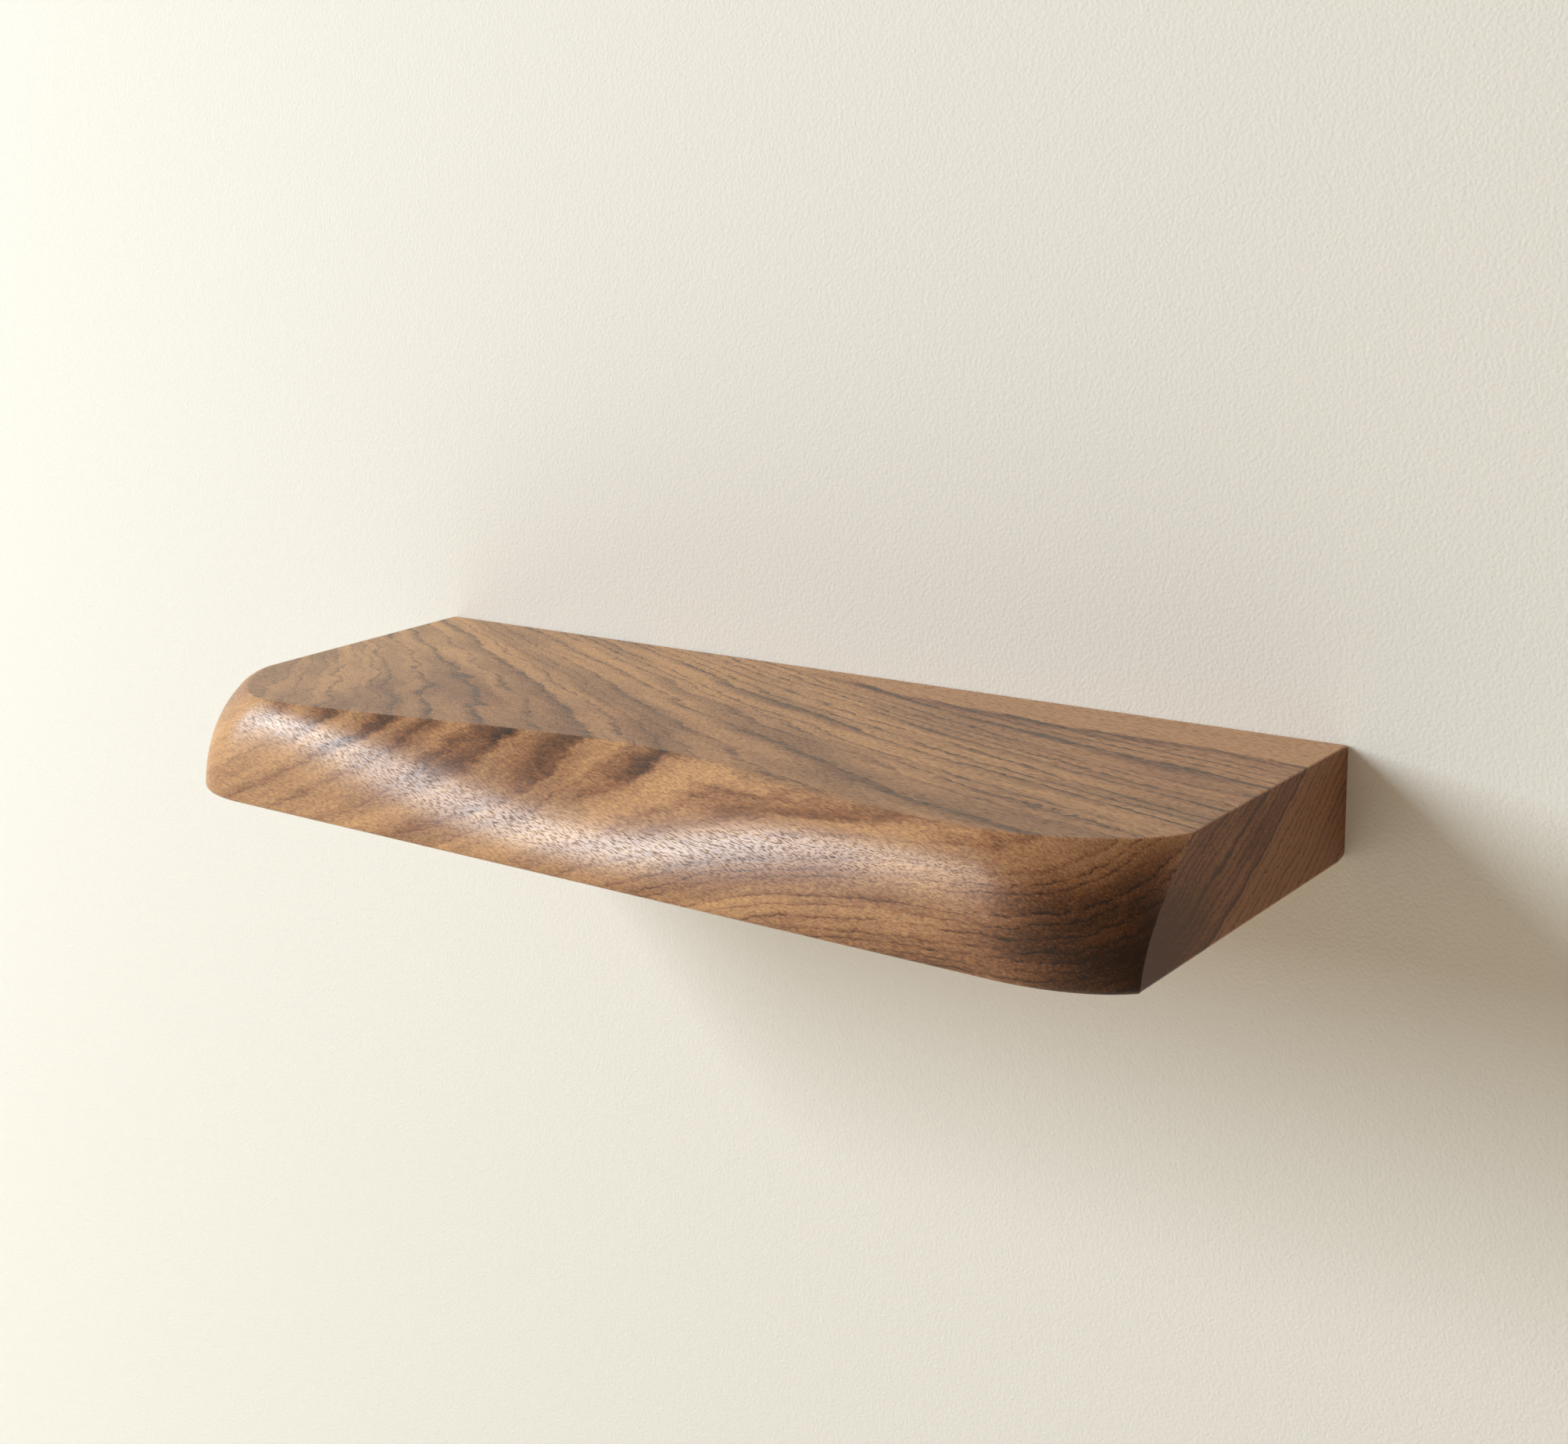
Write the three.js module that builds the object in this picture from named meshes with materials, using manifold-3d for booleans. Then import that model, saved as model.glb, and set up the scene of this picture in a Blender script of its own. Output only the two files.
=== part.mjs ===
import * as THREE from 'three';
import { mergeVertices } from 'three/addons/utils/BufferGeometryUtils.js';
import Module from 'manifold-3d';

const wasm = await Module();
wasm.setup();

// A solid walnut floating shelf with a sculpted front, held on a hidden steel bracket.
// Lengths are in millimetres. X runs along the wall, -Y comes into the room and +Z is up.
// The origin is the centre of the wall plate's back face, on the plane of the wall.

// Board
const boardLength = 600;
const boardDepth = 225;
const boardThickness = 58;
const backTopRound = 3;
const backLowerRound = 5;
const endEase = 1;
const toeRound = 2.5;

// The front is lofted through five sections, from the left end to the right end.
// The crest is the top edge of the front and the toe its bottom edge. A setback is measured
// back from the front line of the board, a run along it from the nearer end, and the handles
// are how far the crest keeps its direction on either side of the section.
// From the crest the profile sets out over the crown, falling by fallShare of it, and it
// comes down to the toe over the rise, leaning in by the lean.
const leftEnd = {
  crestSetback: 75,
  crestHandle: 20,
  toeSetback: 30,
  crown: 15,
  fallShare: 0.36,
  rise: 26,
  lean: 3,
};
const leftShoulder = {
  crestRun: 66,
  crestSetback: 14,
  handleBefore: 25,
  handleAfter: 48,
  toeRun: 50,
  crown: 11,
  fallShare: 0.73,
  rise: 37,
  lean: 3,
};
const waist = {
  offset: 5,
  crestSetback: 48.5,
  handleBefore: 65,
  handleAfter: 80,
  crown: 32,
  fallShare: 0.65,
  rise: 20,
  lean: 2,
};
const rightShoulder = {
  crestRun: 92,
  crestSetback: 22,
  handleBefore: 83,
  handleAfter: 42,
  toeRun: 60,
  crown: 15,
  fallShare: 0.62,
  rise: 43,
  lean: 3,
};
const rightEnd = {
  crestSetback: 67,
  handleRun: 10,
  handleReach: 23,
  toeSetback: 20,
  crown: 17,
  fallShare: 0.68,
  rise: 38,
  lean: 3,
};
// Between the waist and the right shoulder the crease fades, most of all halfway.
const creaseFadeShare = 0.35;

// Wall plate
const plateLength = 500;
const plateHeight = 40;
const plateThickness = 6;
const plateCornerRadius = 5;
const plateRecessGap = 2;

// Support rods
const rodDiameter = 16;
const rodLength = 150;
const rodSpacing = 300;
const rodTipChamfer = 1.5;
const rodBoreGap = 0.4;
const rodBoreSpareDepth = 5;

// Rod bolts, countersunk at 90 degrees into the back of the plate
const boltDiameter = 8;
const boltHeadDiameter = 16;
const boltLength = 20;
const boltTipChamfer = 1;
const boltSocketWidth = 5;
const boltSocketDepth = 2.5;
const boltHoleSpareDepth = 4;

// Wall screws, washers and plugs: the outer pair is as far apart as the studs of a stud wall
const outerScrewSpacing = 406;
const innerScrewSpacing = 140;
const screwDiameter = 7;
const screwLength = 60;
const screwPointLength = 8;
const screwHeadWidth = 12;
const screwHeadHeight = 5;
const screwHeadChamfer = 0.8;
const screwHeadFaceShare = 0.95;
const washerDiameter = 22;
const washerThickness = 1.6;
const plugDiameter = 10;
const plugLength = 50;
const plugBarbDepth = 0.5;
const plugBarbCount = 5;
const plugBarbRampShare = 0.35;
const plugCollarLength = 6;
const plugSlitWidth = 1.4;
const plugSlitLength = 34;
const headPocketDiameter = 28;
const headPocketSpareDepth = 2;

// Lock screws and their threaded inserts, in the underside below the rods
const lockSetback = 60;
const lockDiameter = 6;
const lockLength = 16;
const lockSocketWidth = 3;
const lockSocketDepth = 4;
const lockPointLength = 1.5;
const lockPointDiameter = 4;
const insertDiameter = 9;
const insertLength = 13;
const insertFlangeDiameter = 12;
const insertFlangeThickness = 1.5;

// Clearances
const fastenerGap = 0.3;
const seatGap = 0.3;
const cutOverrun = 1;
const weldTolerance = 0.001;

// Facets
const cornerColumns = 13;
const bowColumns = 18;
const easeLevels = 3;
const faceLevels = 12;
const easeShare = 0.04;
const rodFacets = 40;
const fastenerFacets = 24;

const quarterTurn = Math.PI / 2;
const hexagonSides = 6;

const finishes = {
  walnut: new THREE.MeshStandardMaterial({ color: 0x8a6042, roughness: 0.45, metalness: 0 }),
  blackSteel: new THREE.MeshStandardMaterial({ color: 0x26282a, roughness: 0.55, metalness: 0.3 }),
  brightSteel: new THREE.MeshStandardMaterial({ color: 0xb4b7ba, roughness: 0.3, metalness: 1 }),
  zincSteel: new THREE.MeshStandardMaterial({ color: 0xa9adb2, roughness: 0.4, metalness: 0.9 }),
  nylon: new THREE.MeshStandardMaterial({ color: 0xb9bcb8, roughness: 0.6, metalness: 0 }),
  brass: new THREE.MeshStandardMaterial({ color: 0xb8923f, roughness: 0.35, metalness: 0.9 }),
};

// Solids and meshes

// A closed geometry as a solid that can be cut and joined.
function solid(geometry) {
  const bare = geometry.index ? geometry.toNonIndexed() : geometry.clone();
  bare.deleteAttribute('normal');
  bare.deleteAttribute('uv');
  const welded = mergeVertices(bare, weldTolerance);
  return new wasm.Manifold(
    new wasm.Mesh({
      numProp: 3,
      vertProperties: welded.attributes.position.array,
      triVerts: new Uint32Array(welded.index.array),
    }),
  );
}

// A solid's faces as a geometry.
function faces(body) {
  const { vertProperties, triVerts } = body.getMesh();
  const geometry = new THREE.BufferGeometry();
  geometry.setAttribute('position', new THREE.Float32BufferAttribute(vertProperties, 3));
  geometry.setIndex(new THREE.Uint32BufferAttribute(triVerts, 1));
  geometry.computeVertexNormals();
  return geometry;
}

// A piece turned about the Y axis from a profile of [radius, place] pairs, lowest place first.
function turned(profile, facets) {
  const points = profile.map(([radius, place]) => new THREE.Vector2(radius, place));
  return solid(new THREE.LatheGeometry(points, facets));
}

// A hexagonal bar about the Y axis, measured across its flats.
function hexagon(width, from, to) {
  const radius = width / Math.sqrt(3);
  const bar = new THREE.CylinderGeometry(radius, radius, to - from, hexagonSides);
  return solid(bar.translate(0, (from + to) / 2, 0));
}

// A round bar about the Y axis.
function round(diameter, from, to, facets) {
  const bar = new THREE.CylinderGeometry(diameter / 2, diameter / 2, to - from, facets);
  return solid(bar.translate(0, (from + to) / 2, 0));
}

// A slab in the plane of the wall with rounded corners, between two places along Y.
function roundedSlab(length, height, radius, from, to) {
  const x = length / 2;
  const z = height / 2;
  const outline = new THREE.Shape();
  outline.moveTo(x - radius, -z);
  outline.absarc(x - radius, radius - z, radius, -quarterTurn, 0);
  outline.absarc(x - radius, z - radius, radius, 0, quarterTurn);
  outline.absarc(radius - x, z - radius, radius, quarterTurn, 2 * quarterTurn);
  outline.absarc(radius - x, radius - z, radius, 2 * quarterTurn, 3 * quarterTurn);
  const slab = new THREE.ExtrudeGeometry(outline, {
    depth: to - from,
    bevelEnabled: false,
    curveSegments: cornerColumns,
  });
  return solid(slab.rotateX(quarterTurn).translate(0, to, 0));
}

// Turns a piece made about the Y axis to stand along Z.
function upright(body) {
  return body.rotate([90, 0, 0]);
}

const shelf = new THREE.Group();

function add(name, geometry, material, x = 0, y = 0, z = 0) {
  const mesh = new THREE.Mesh(geometry, material);
  mesh.name = name;
  mesh.position.set(x, y, z);
  shelf.add(mesh);
}

// Places shared by the bracket and the board, along Y from the wall into the room
const plateFront = -plateThickness;
const washerBack = plateFront - seatGap;
const washerFront = washerBack - washerThickness;
const screwHeadBack = washerFront - seatGap;
const screwHeadFront = screwHeadBack - screwHeadHeight;
const rodBack = plateFront - seatGap;
const rodTip = rodBack - rodLength;
const boltHeadHeight = (boltHeadDiameter - boltDiameter) / 2;
const rodPlaces = { left: -rodSpacing / 2, right: rodSpacing / 2 };
const screwPlaces = [
  -outerScrewSpacing / 2,
  -innerScrewSpacing / 2,
  innerScrewSpacing / 2,
  outerScrewSpacing / 2,
];
const plugHoleDiameter = plugDiameter + 2 * fastenerGap;

// Board: the outline in plan of the front's crest and toe, each as four spans
const halfLength = boardLength / 2;
const frontLine = -boardDepth;
const leftShoulderX = leftShoulder.crestRun - halfLength;
const rightShoulderX = halfLength - rightShoulder.crestRun;
const sections = [leftEnd, leftShoulder, waist, rightShoulder, rightEnd];

function crestPoint(x, section) {
  return new THREE.Vector2(x, frontLine + section.crestSetback);
}

function shifted(point, x, y) {
  return new THREE.Vector2(point.x + x, point.y + y);
}

function crestSpans() {
  const start = crestPoint(-halfLength, leftEnd);
  const left = crestPoint(leftShoulderX, leftShoulder);
  const middle = crestPoint(waist.offset, waist);
  const right = crestPoint(rightShoulderX, rightShoulder);
  const end = crestPoint(halfLength, rightEnd);
  return [
    new THREE.CubicBezierCurve(
      start,
      shifted(start, 0, -leftEnd.crestHandle),
      shifted(left, -leftShoulder.handleBefore, 0),
      left,
    ),
    new THREE.CubicBezierCurve(
      left,
      shifted(left, leftShoulder.handleAfter, 0),
      shifted(middle, -waist.handleBefore, 0),
      middle,
    ),
    new THREE.CubicBezierCurve(
      middle,
      shifted(middle, waist.handleAfter, 0),
      shifted(right, -rightShoulder.handleBefore, 0),
      right,
    ),
    new THREE.CubicBezierCurve(
      right,
      shifted(right, rightShoulder.handleAfter, 0),
      shifted(end, -rightEnd.handleRun, -rightEnd.handleReach),
      end,
    ),
  ];
}

function toeSpans() {
  const leftRun = leftShoulder.toeRun;
  const rightRun = rightShoulder.toeRun;
  const leftCentre = new THREE.Vector2(leftRun - halfLength, frontLine + leftEnd.toeSetback);
  const rightCentre = new THREE.Vector2(halfLength - rightRun, frontLine + rightEnd.toeSetback);
  const left = new THREE.Vector2(leftCentre.x, frontLine);
  const middle = new THREE.Vector2(waist.offset, frontLine);
  const right = new THREE.Vector2(rightCentre.x, frontLine);
  return [
    new THREE.EllipseCurve(
      leftCentre.x,
      leftCentre.y,
      leftRun,
      leftEnd.toeSetback,
      2 * quarterTurn,
      3 * quarterTurn,
    ),
    new THREE.LineCurve(left, middle),
    new THREE.LineCurve(middle, right),
    new THREE.EllipseCurve(
      rightCentre.x,
      rightCentre.y,
      rightRun,
      rightEnd.toeSetback,
      3 * quarterTurn,
      4 * quarterTurn,
    ),
  ];
}

// The sizes of the profile between two sections, eased from one to the other.
function blendedSection(span, share) {
  const easedShare = share * share * (3 - 2 * share);
  const blended = {};
  for (const size of ['crown', 'fallShare', 'rise', 'lean']) {
    blended[size] = THREE.MathUtils.lerp(sections[span][size], sections[span + 1][size], easedShare);
  }
  if (sections[span] === waist) {
    blended.fallShare -= creaseFadeShare * Math.sin(Math.PI * share) ** 2;
  }
  return blended;
}

const lastLevel = 2 * easeLevels + faceLevels;
const topZ = boardThickness / 2;
const undersideZ = -boardThickness / 2;

// How far round its easing a level is: 0 on the flat, a quarter turn on the upright face.
function easeAngle(level) {
  const levelsFromFlat = Math.min(level, lastLevel - level, easeLevels);
  return (quarterTurn * levelsFromFlat) / easeLevels;
}

// The inset from the upright face, and the distance from the flat, of a rounded edge.
function rounding(radius, level) {
  return {
    inset: radius * (1 - Math.sin(easeAngle(level))),
    depth: radius * (1 - Math.cos(easeAngle(level))),
  };
}

function isLower(level) {
  return level > lastLevel / 2;
}

// One column of the front, from the crest down to the underside.
function frontColumn(crestSpan, toeSpan, span, share) {
  const crest = crestSpan.getPoint(share);
  const toe = toeSpan.getPoint(share);
  const outward = toe.clone().sub(crest).normalize();
  const tangent = toeSpan.getTangent(share);
  const { crown, fallShare, rise, lean } = blendedSection(span, share);
  const toeZ = undersideZ + toeRound;
  const profile = new THREE.CubicBezierCurve3(
    new THREE.Vector3(crest.x, crest.y, topZ),
    new THREE.Vector3(crest.x + crown * outward.x, crest.y + crown * outward.y, topZ - crown * fallShare),
    new THREE.Vector3(toe.x - lean * outward.x, toe.y - lean * outward.y, toeZ + rise),
    new THREE.Vector3(toe.x, toe.y, toeZ),
  );
  const column = [];
  for (let level = 0; level <= easeLevels; level += 1) {
    column.push(profile.getPoint((easeShare * level) / easeLevels));
  }
  for (let step = 1; step <= faceLevels; step += 1) {
    column.push(profile.getPoint(easeShare + ((1 - easeShare) * step) / faceLevels));
  }
  for (let level = lastLevel - easeLevels + 1; level <= lastLevel; level += 1) {
    const { inset, depth } = rounding(toeRound, level);
    const x = toe.x - inset * tangent.y;
    const y = toe.y + inset * tangent.x;
    column.push(new THREE.Vector3(x, y, undersideZ + depth));
  }
  return column;
}

function frontColumns() {
  const crests = crestSpans();
  const toes = toeSpans();
  const columns = [frontColumn(crests[0], toes[0], 0, 0)];
  for (let span = 0; span < crests.length; span += 1) {
    const isCorner = span === 0 || span === crests.length - 1;
    const steps = isCorner ? cornerColumns : bowColumns;
    for (let step = 1; step <= steps; step += 1) {
      columns.push(frontColumn(crests[span], toes[span], span, step / steps));
    }
  }
  return columns;
}

// A back corner of the board, from the top down to the underside.
function backColumn(side) {
  const column = [];
  const faceHeight = boardThickness - backTopRound - backLowerRound;
  for (let level = 0; level <= lastLevel; level += 1) {
    const upper = rounding(backTopRound, Math.min(level, easeLevels));
    const lower = rounding(backLowerRound, Math.max(level, lastLevel - easeLevels));
    const step = THREE.MathUtils.clamp(level - easeLevels, 0, faceLevels);
    const fall = upper.depth + (faceHeight * step) / faceLevels + backLowerRound - lower.depth;
    column.push(new THREE.Vector3(side * halfLength, -upper.inset - lower.inset, topZ - fall));
  }
  return column;
}

// The board's skin: level rings of points round the board, closed by flat faces.
function boardBlank() {
  const columns = [...frontColumns(), backColumn(1), backColumn(-1)];
  const points = [];
  for (let level = 0; level <= lastLevel; level += 1) {
    const { inset } = rounding(isLower(level) ? toeRound : endEase, level);
    const reach = halfLength - inset;
    for (const column of columns) {
      const { x, y, z } = column[level];
      points.push(THREE.MathUtils.clamp(x, -reach, reach), y, z);
    }
  }
  const around = columns.length;
  const triangles = [];
  for (let level = 0; level < lastLevel; level += 1) {
    for (let column = 0; column < around; column += 1) {
      const upper = level * around + column;
      const upperNext = level * around + ((column + 1) % around);
      const lower = upper + around;
      const lowerNext = upperNext + around;
      triangles.push(lower, lowerNext, upperNext);
      triangles.push(lower, upperNext, upper);
    }
  }
  for (const level of [0, lastLevel]) {
    const first = level * around;
    const outline = columns.map((column, place) => {
      const start = (first + place) * 3;
      return new THREE.Vector2(points[start], points[start + 1]);
    });
    for (const [a, b, c] of THREE.ShapeUtils.triangulateShape(outline, [])) {
      triangles.push(...(level === 0 ? [first + a, first + b, first + c] : [first + c, first + b, first + a]));
    }
  }
  const skin = new THREE.BufferGeometry();
  skin.setAttribute('position', new THREE.Float32BufferAttribute(points, 3));
  skin.setIndex(triangles);
  return solid(skin);
}

// The recess for the wall plate, with pockets for the screw heads and bores for the rods.
function bracketSpace() {
  const recessBottom = plateFront - seatGap;
  let space = roundedSlab(
    plateLength + 2 * plateRecessGap,
    plateHeight + 2 * plateRecessGap,
    plateCornerRadius + plateRecessGap,
    recessBottom,
    cutOverrun,
  );
  const pocketBottom = screwHeadFront - headPocketSpareDepth;
  const pocket = round(headPocketDiameter, pocketBottom, 0, fastenerFacets);
  for (const x of screwPlaces) {
    space = space.add(pocket.translate([x, 0, 0]));
  }
  const boreBottom = rodTip - rodBoreSpareDepth;
  const bore = round(rodDiameter + 2 * rodBoreGap, boreBottom, 0, rodFacets);
  for (const x of Object.values(rodPlaces)) {
    space = space.add(bore.translate([x, 0, 0]));
  }
  return space;
}

// The stepped hole from the underside to a rod's bore, for an insert and its lock screw.
function lockSpace() {
  const flange = insertFlangeDiameter / 2 + fastenerGap;
  const sleeve = insertDiameter / 2 + fastenerGap;
  const passage = lockDiameter / 2 + fastenerGap;
  const flangeTop = undersideZ + seatGap + insertFlangeThickness + seatGap;
  const sleeveTop = undersideZ + seatGap + insertLength + seatGap;
  return upright(
    turned(
      [
        [0, undersideZ - cutOverrun],
        [flange, undersideZ - cutOverrun],
        [flange, flangeTop],
        [sleeve, flangeTop],
        [sleeve, sleeveTop],
        [passage, sleeveTop],
        [passage, 0],
        [0, 0],
      ],
      fastenerFacets,
    ),
  );
}

function addBoard() {
  let board = boardBlank().subtract(bracketSpace());
  for (const x of Object.values(rodPlaces)) {
    board = board.subtract(lockSpace().translate([x, -lockSetback, 0]));
  }
  add('shelf_board', faces(board), finishes.walnut);
}

// Wall plate: flat bar with four holes that let the plugs through and two countersunk holes.
function addPlate() {
  let plate = roundedSlab(plateLength, plateHeight, plateCornerRadius, plateFront, 0);
  const plugHole = round(plugHoleDiameter, plateFront - cutOverrun, cutOverrun, fastenerFacets);
  for (const x of screwPlaces) {
    plate = plate.subtract(plugHole.translate([x, 0, 0]));
  }
  const shank = boltDiameter / 2 + fastenerGap;
  const mouth = boltHeadDiameter / 2 + fastenerGap + seatGap;
  const countersink = turned(
    [
      [0, plateFront - cutOverrun],
      [shank, plateFront - cutOverrun],
      [shank, shank - mouth],
      [mouth, 0],
      [mouth + cutOverrun, cutOverrun],
      [0, cutOverrun],
    ],
    fastenerFacets,
  );
  for (const x of Object.values(rodPlaces)) {
    plate = plate.subtract(countersink.translate([x, 0, 0]));
  }
  add('wall_plate', faces(plate), finishes.blackSteel);
}

// Support rods: round bar, chamfered at the tip, with a blind hole for the bolt.
function addRods() {
  const radius = rodDiameter / 2;
  const hole = boltDiameter / 2 + fastenerGap;
  const boltTip = -seatGap - boltLength;
  const holeBottom = boltTip - boltHoleSpareDepth;
  const rod = turned(
    [
      [0, rodTip],
      [radius - rodTipChamfer, rodTip],
      [radius, rodTip + rodTipChamfer],
      [radius, rodBack],
      [hole, rodBack],
      [hole, holeBottom],
      [0, holeBottom - hole],
    ],
    rodFacets,
  );
  for (const [side, x] of Object.entries(rodPlaces)) {
    add(`support_rod_${side}`, faces(rod), finishes.brightSteel, x);
  }
}

// Rod bolts: countersunk head flush with the back of the plate, with a hexagon socket.
function addRodBolts() {
  const radius = boltDiameter / 2;
  const headBack = -seatGap;
  const tip = headBack - boltLength;
  const body = turned(
    [
      [0, tip],
      [radius - boltTipChamfer, tip],
      [radius, tip + boltTipChamfer],
      [radius, headBack - boltHeadHeight],
      [boltHeadDiameter / 2, headBack],
      [0, headBack],
    ],
    fastenerFacets,
  );
  const bolt = body.subtract(hexagon(boltSocketWidth, headBack - boltSocketDepth, cutOverrun));
  for (const [side, x] of Object.entries(rodPlaces)) {
    add(`rod_bolt_${side}`, faces(bolt), finishes.zincSteel, x);
  }
}

// Wall screws: hexagon head with chamfered corners, plain shank and a point.
function addWallScrews() {
  const radius = screwDiameter / 2;
  const end = screwHeadBack + screwLength;
  const corner = screwHeadWidth / Math.sqrt(3);
  const headFront = screwHeadFront;
  const shank = turned(
    [
      [0, headFront + screwHeadChamfer],
      [radius, headFront + screwHeadChamfer],
      [radius, end - screwPointLength],
      [0, end],
    ],
    fastenerFacets,
  );
  const dome = turned(
    [
      [0, headFront],
      [(screwHeadFaceShare * screwHeadWidth) / 2, headFront],
      [corner, headFront + screwHeadChamfer],
      [corner, screwHeadBack],
      [0, screwHeadBack],
    ],
    fastenerFacets,
  );
  const head = hexagon(screwHeadWidth, headFront, screwHeadBack).intersect(dome);
  const screw = faces(head.add(shank));
  screwPlaces.forEach((x, place) => add(`wall_screw_${place + 1}`, screw, finishes.zincSteel, x));
}

// Washers between the screw heads and the plate, wide enough to cover its holes.
function addWallWashers() {
  const hole = screwDiameter / 2 + fastenerGap;
  const rim = washerDiameter / 2;
  const washer = faces(
    turned(
      [
        [hole, washerFront],
        [rim, washerFront],
        [rim, washerBack],
        [hole, washerBack],
        [hole, washerFront],
      ],
      rodFacets,
    ),
  );
  screwPlaces.forEach((x, place) => add(`wall_washer_${place + 1}`, washer, finishes.zincSteel, x));
}

// Wall plugs: barbed nylon sleeves, slit from the tip so that the screw spreads them.
function addWallPlugs() {
  const bore = screwDiameter / 2 + fastenerGap;
  const rim = plugDiameter / 2;
  const root = rim - plugBarbDepth;
  const mouth = seatGap;
  const tip = mouth + plugLength;
  const barbPitch = (plugLength - plugCollarLength) / plugBarbCount;
  const profile = [
    [bore, mouth],
    [rim, mouth],
    [rim, mouth + plugCollarLength],
  ];
  for (let barb = 0; barb < plugBarbCount; barb += 1) {
    const start = mouth + plugCollarLength + barb * barbPitch;
    profile.push([root, start]);
    profile.push([rim, start + barbPitch * plugBarbRampShare]);
    profile.push([root, start + barbPitch]);
  }
  profile.push([bore, tip]);
  profile.push([bore, mouth]);
  const slit = new THREE.BoxGeometry(plugSlitWidth, plugSlitLength + cutOverrun, plugDiameter + cutOverrun);
  slit.translate(0, tip - (plugSlitLength - cutOverrun) / 2, 0);
  const plug = faces(turned(profile, fastenerFacets).subtract(solid(slit)));
  screwPlaces.forEach((x, place) => add(`wall_plug_${place + 1}`, plug, finishes.nylon, x));
}

// Threaded inserts: flanged brass sleeves, flush with the underside.
function addInserts() {
  const flange = insertFlangeDiameter / 2;
  const sleeve = insertDiameter / 2;
  const bore = lockDiameter / 2 + fastenerGap;
  const bottom = undersideZ + seatGap;
  const insert = faces(
    upright(
      turned(
        [
          [bore, bottom],
          [flange, bottom],
          [flange, bottom + insertFlangeThickness],
          [sleeve, bottom + insertFlangeThickness],
          [sleeve, bottom + insertLength],
          [bore, bottom + insertLength],
          [bore, bottom],
        ],
        fastenerFacets,
      ),
    ),
  );
  for (const [side, x] of Object.entries(rodPlaces)) {
    add(`threaded_insert_${side}`, insert, finishes.brass, x, -lockSetback);
  }
}

// Lock screws: headless, with a socket below and a blunt point that meets the rod.
function addLockScrews() {
  const radius = lockDiameter / 2;
  const tip = -rodDiameter / 2 - seatGap;
  const bottom = tip - lockLength;
  const body = turned(
    [
      [0, bottom],
      [radius, bottom],
      [radius, tip - lockPointLength],
      [lockPointDiameter / 2, tip],
      [0, tip],
    ],
    fastenerFacets,
  );
  const socket = hexagon(lockSocketWidth, bottom - cutOverrun, bottom + lockSocketDepth);
  const screw = faces(upright(body.subtract(socket)));
  for (const [side, x] of Object.entries(rodPlaces)) {
    add(`lock_screw_${side}`, screw, finishes.zincSteel, x, -lockSetback);
  }
}

addBoard();
addPlate();
addRods();
addRodBolts();
addWallScrews();
addWallWashers();
addWallPlugs();
addInserts();
addLockScrews();

export default shelf;
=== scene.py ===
from math import cos, pi, radians, sin

import bpy
from mathutils import Matrix, Vector


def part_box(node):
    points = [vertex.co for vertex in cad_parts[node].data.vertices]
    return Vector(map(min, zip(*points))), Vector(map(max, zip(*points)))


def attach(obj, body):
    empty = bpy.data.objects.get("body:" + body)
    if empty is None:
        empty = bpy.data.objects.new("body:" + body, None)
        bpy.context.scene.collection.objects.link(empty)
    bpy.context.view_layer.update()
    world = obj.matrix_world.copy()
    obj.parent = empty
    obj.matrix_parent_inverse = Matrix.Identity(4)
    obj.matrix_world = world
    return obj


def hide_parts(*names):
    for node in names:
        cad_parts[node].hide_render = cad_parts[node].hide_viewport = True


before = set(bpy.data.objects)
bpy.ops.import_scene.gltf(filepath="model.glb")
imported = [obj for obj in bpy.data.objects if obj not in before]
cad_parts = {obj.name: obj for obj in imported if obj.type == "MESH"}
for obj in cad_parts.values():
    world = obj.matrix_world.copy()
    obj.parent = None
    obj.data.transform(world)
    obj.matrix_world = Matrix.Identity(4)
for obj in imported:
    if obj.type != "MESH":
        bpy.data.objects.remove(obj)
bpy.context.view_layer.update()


# The four wall plugs are moulded in grey nylon. Each sits in a hole drilled in the wall, where its
# barbs keep it from turning, and the screw spreads the two halves of its slit end.
mm = 0.001
plug_bore = 7.6 * mm
plug_collar = 6 * mm
plug_barbs = 5
plug_barb_depth = 0.5 * mm
plug_barb_ramp_share = 0.35
plug_slit_width = 1.4 * mm
plug_slit_length = 34 * mm
moulded_edge = 0.3 * mm
# Holes and slots are cut from an overrun outside the face. Where a stretch is round, its flats
# lie so far out that they cut nothing.
overrun = 1 * mm
no_flats = 1.0


def node_box(node):
    """The middle of a CAD node and its size along each axis."""
    low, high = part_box(node)
    return (low + high) / 2, high - low


def quadratic(a, b, c, share):
    """The point at a share of the way along a curve that rounds the corner b."""
    rest = 1 - share
    return rest**2 * a + 2 * rest * share * b + share**2 * c


def eased(points, radius, steps=3):
    """An outline with its corners rounded off, between ends that stay as they are."""
    corners = [Vector(point) for point in points]
    rounded_off = [corners[0]]
    for before, corner, after in zip(corners, corners[1:], corners[2:]):
        reach = min(radius, (before - corner).length / 2, (after - corner).length / 2)
        start = corner + (before - corner).normalized() * reach
        end = corner + (after - corner).normalized() * reach
        rounded_off += [quadratic(start, corner, end, step / steps) for step in range(steps + 1)]
    return [*rounded_off, corners[-1]]


def plain(points, across_flats=None):
    """Round or hexagonal stretches of an outline: distances from the axis and places along it."""
    apothem = across_flats / 2 if across_flats else no_flats
    return [(reach, along, apothem, 0.0) for reach, along in points]


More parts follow.
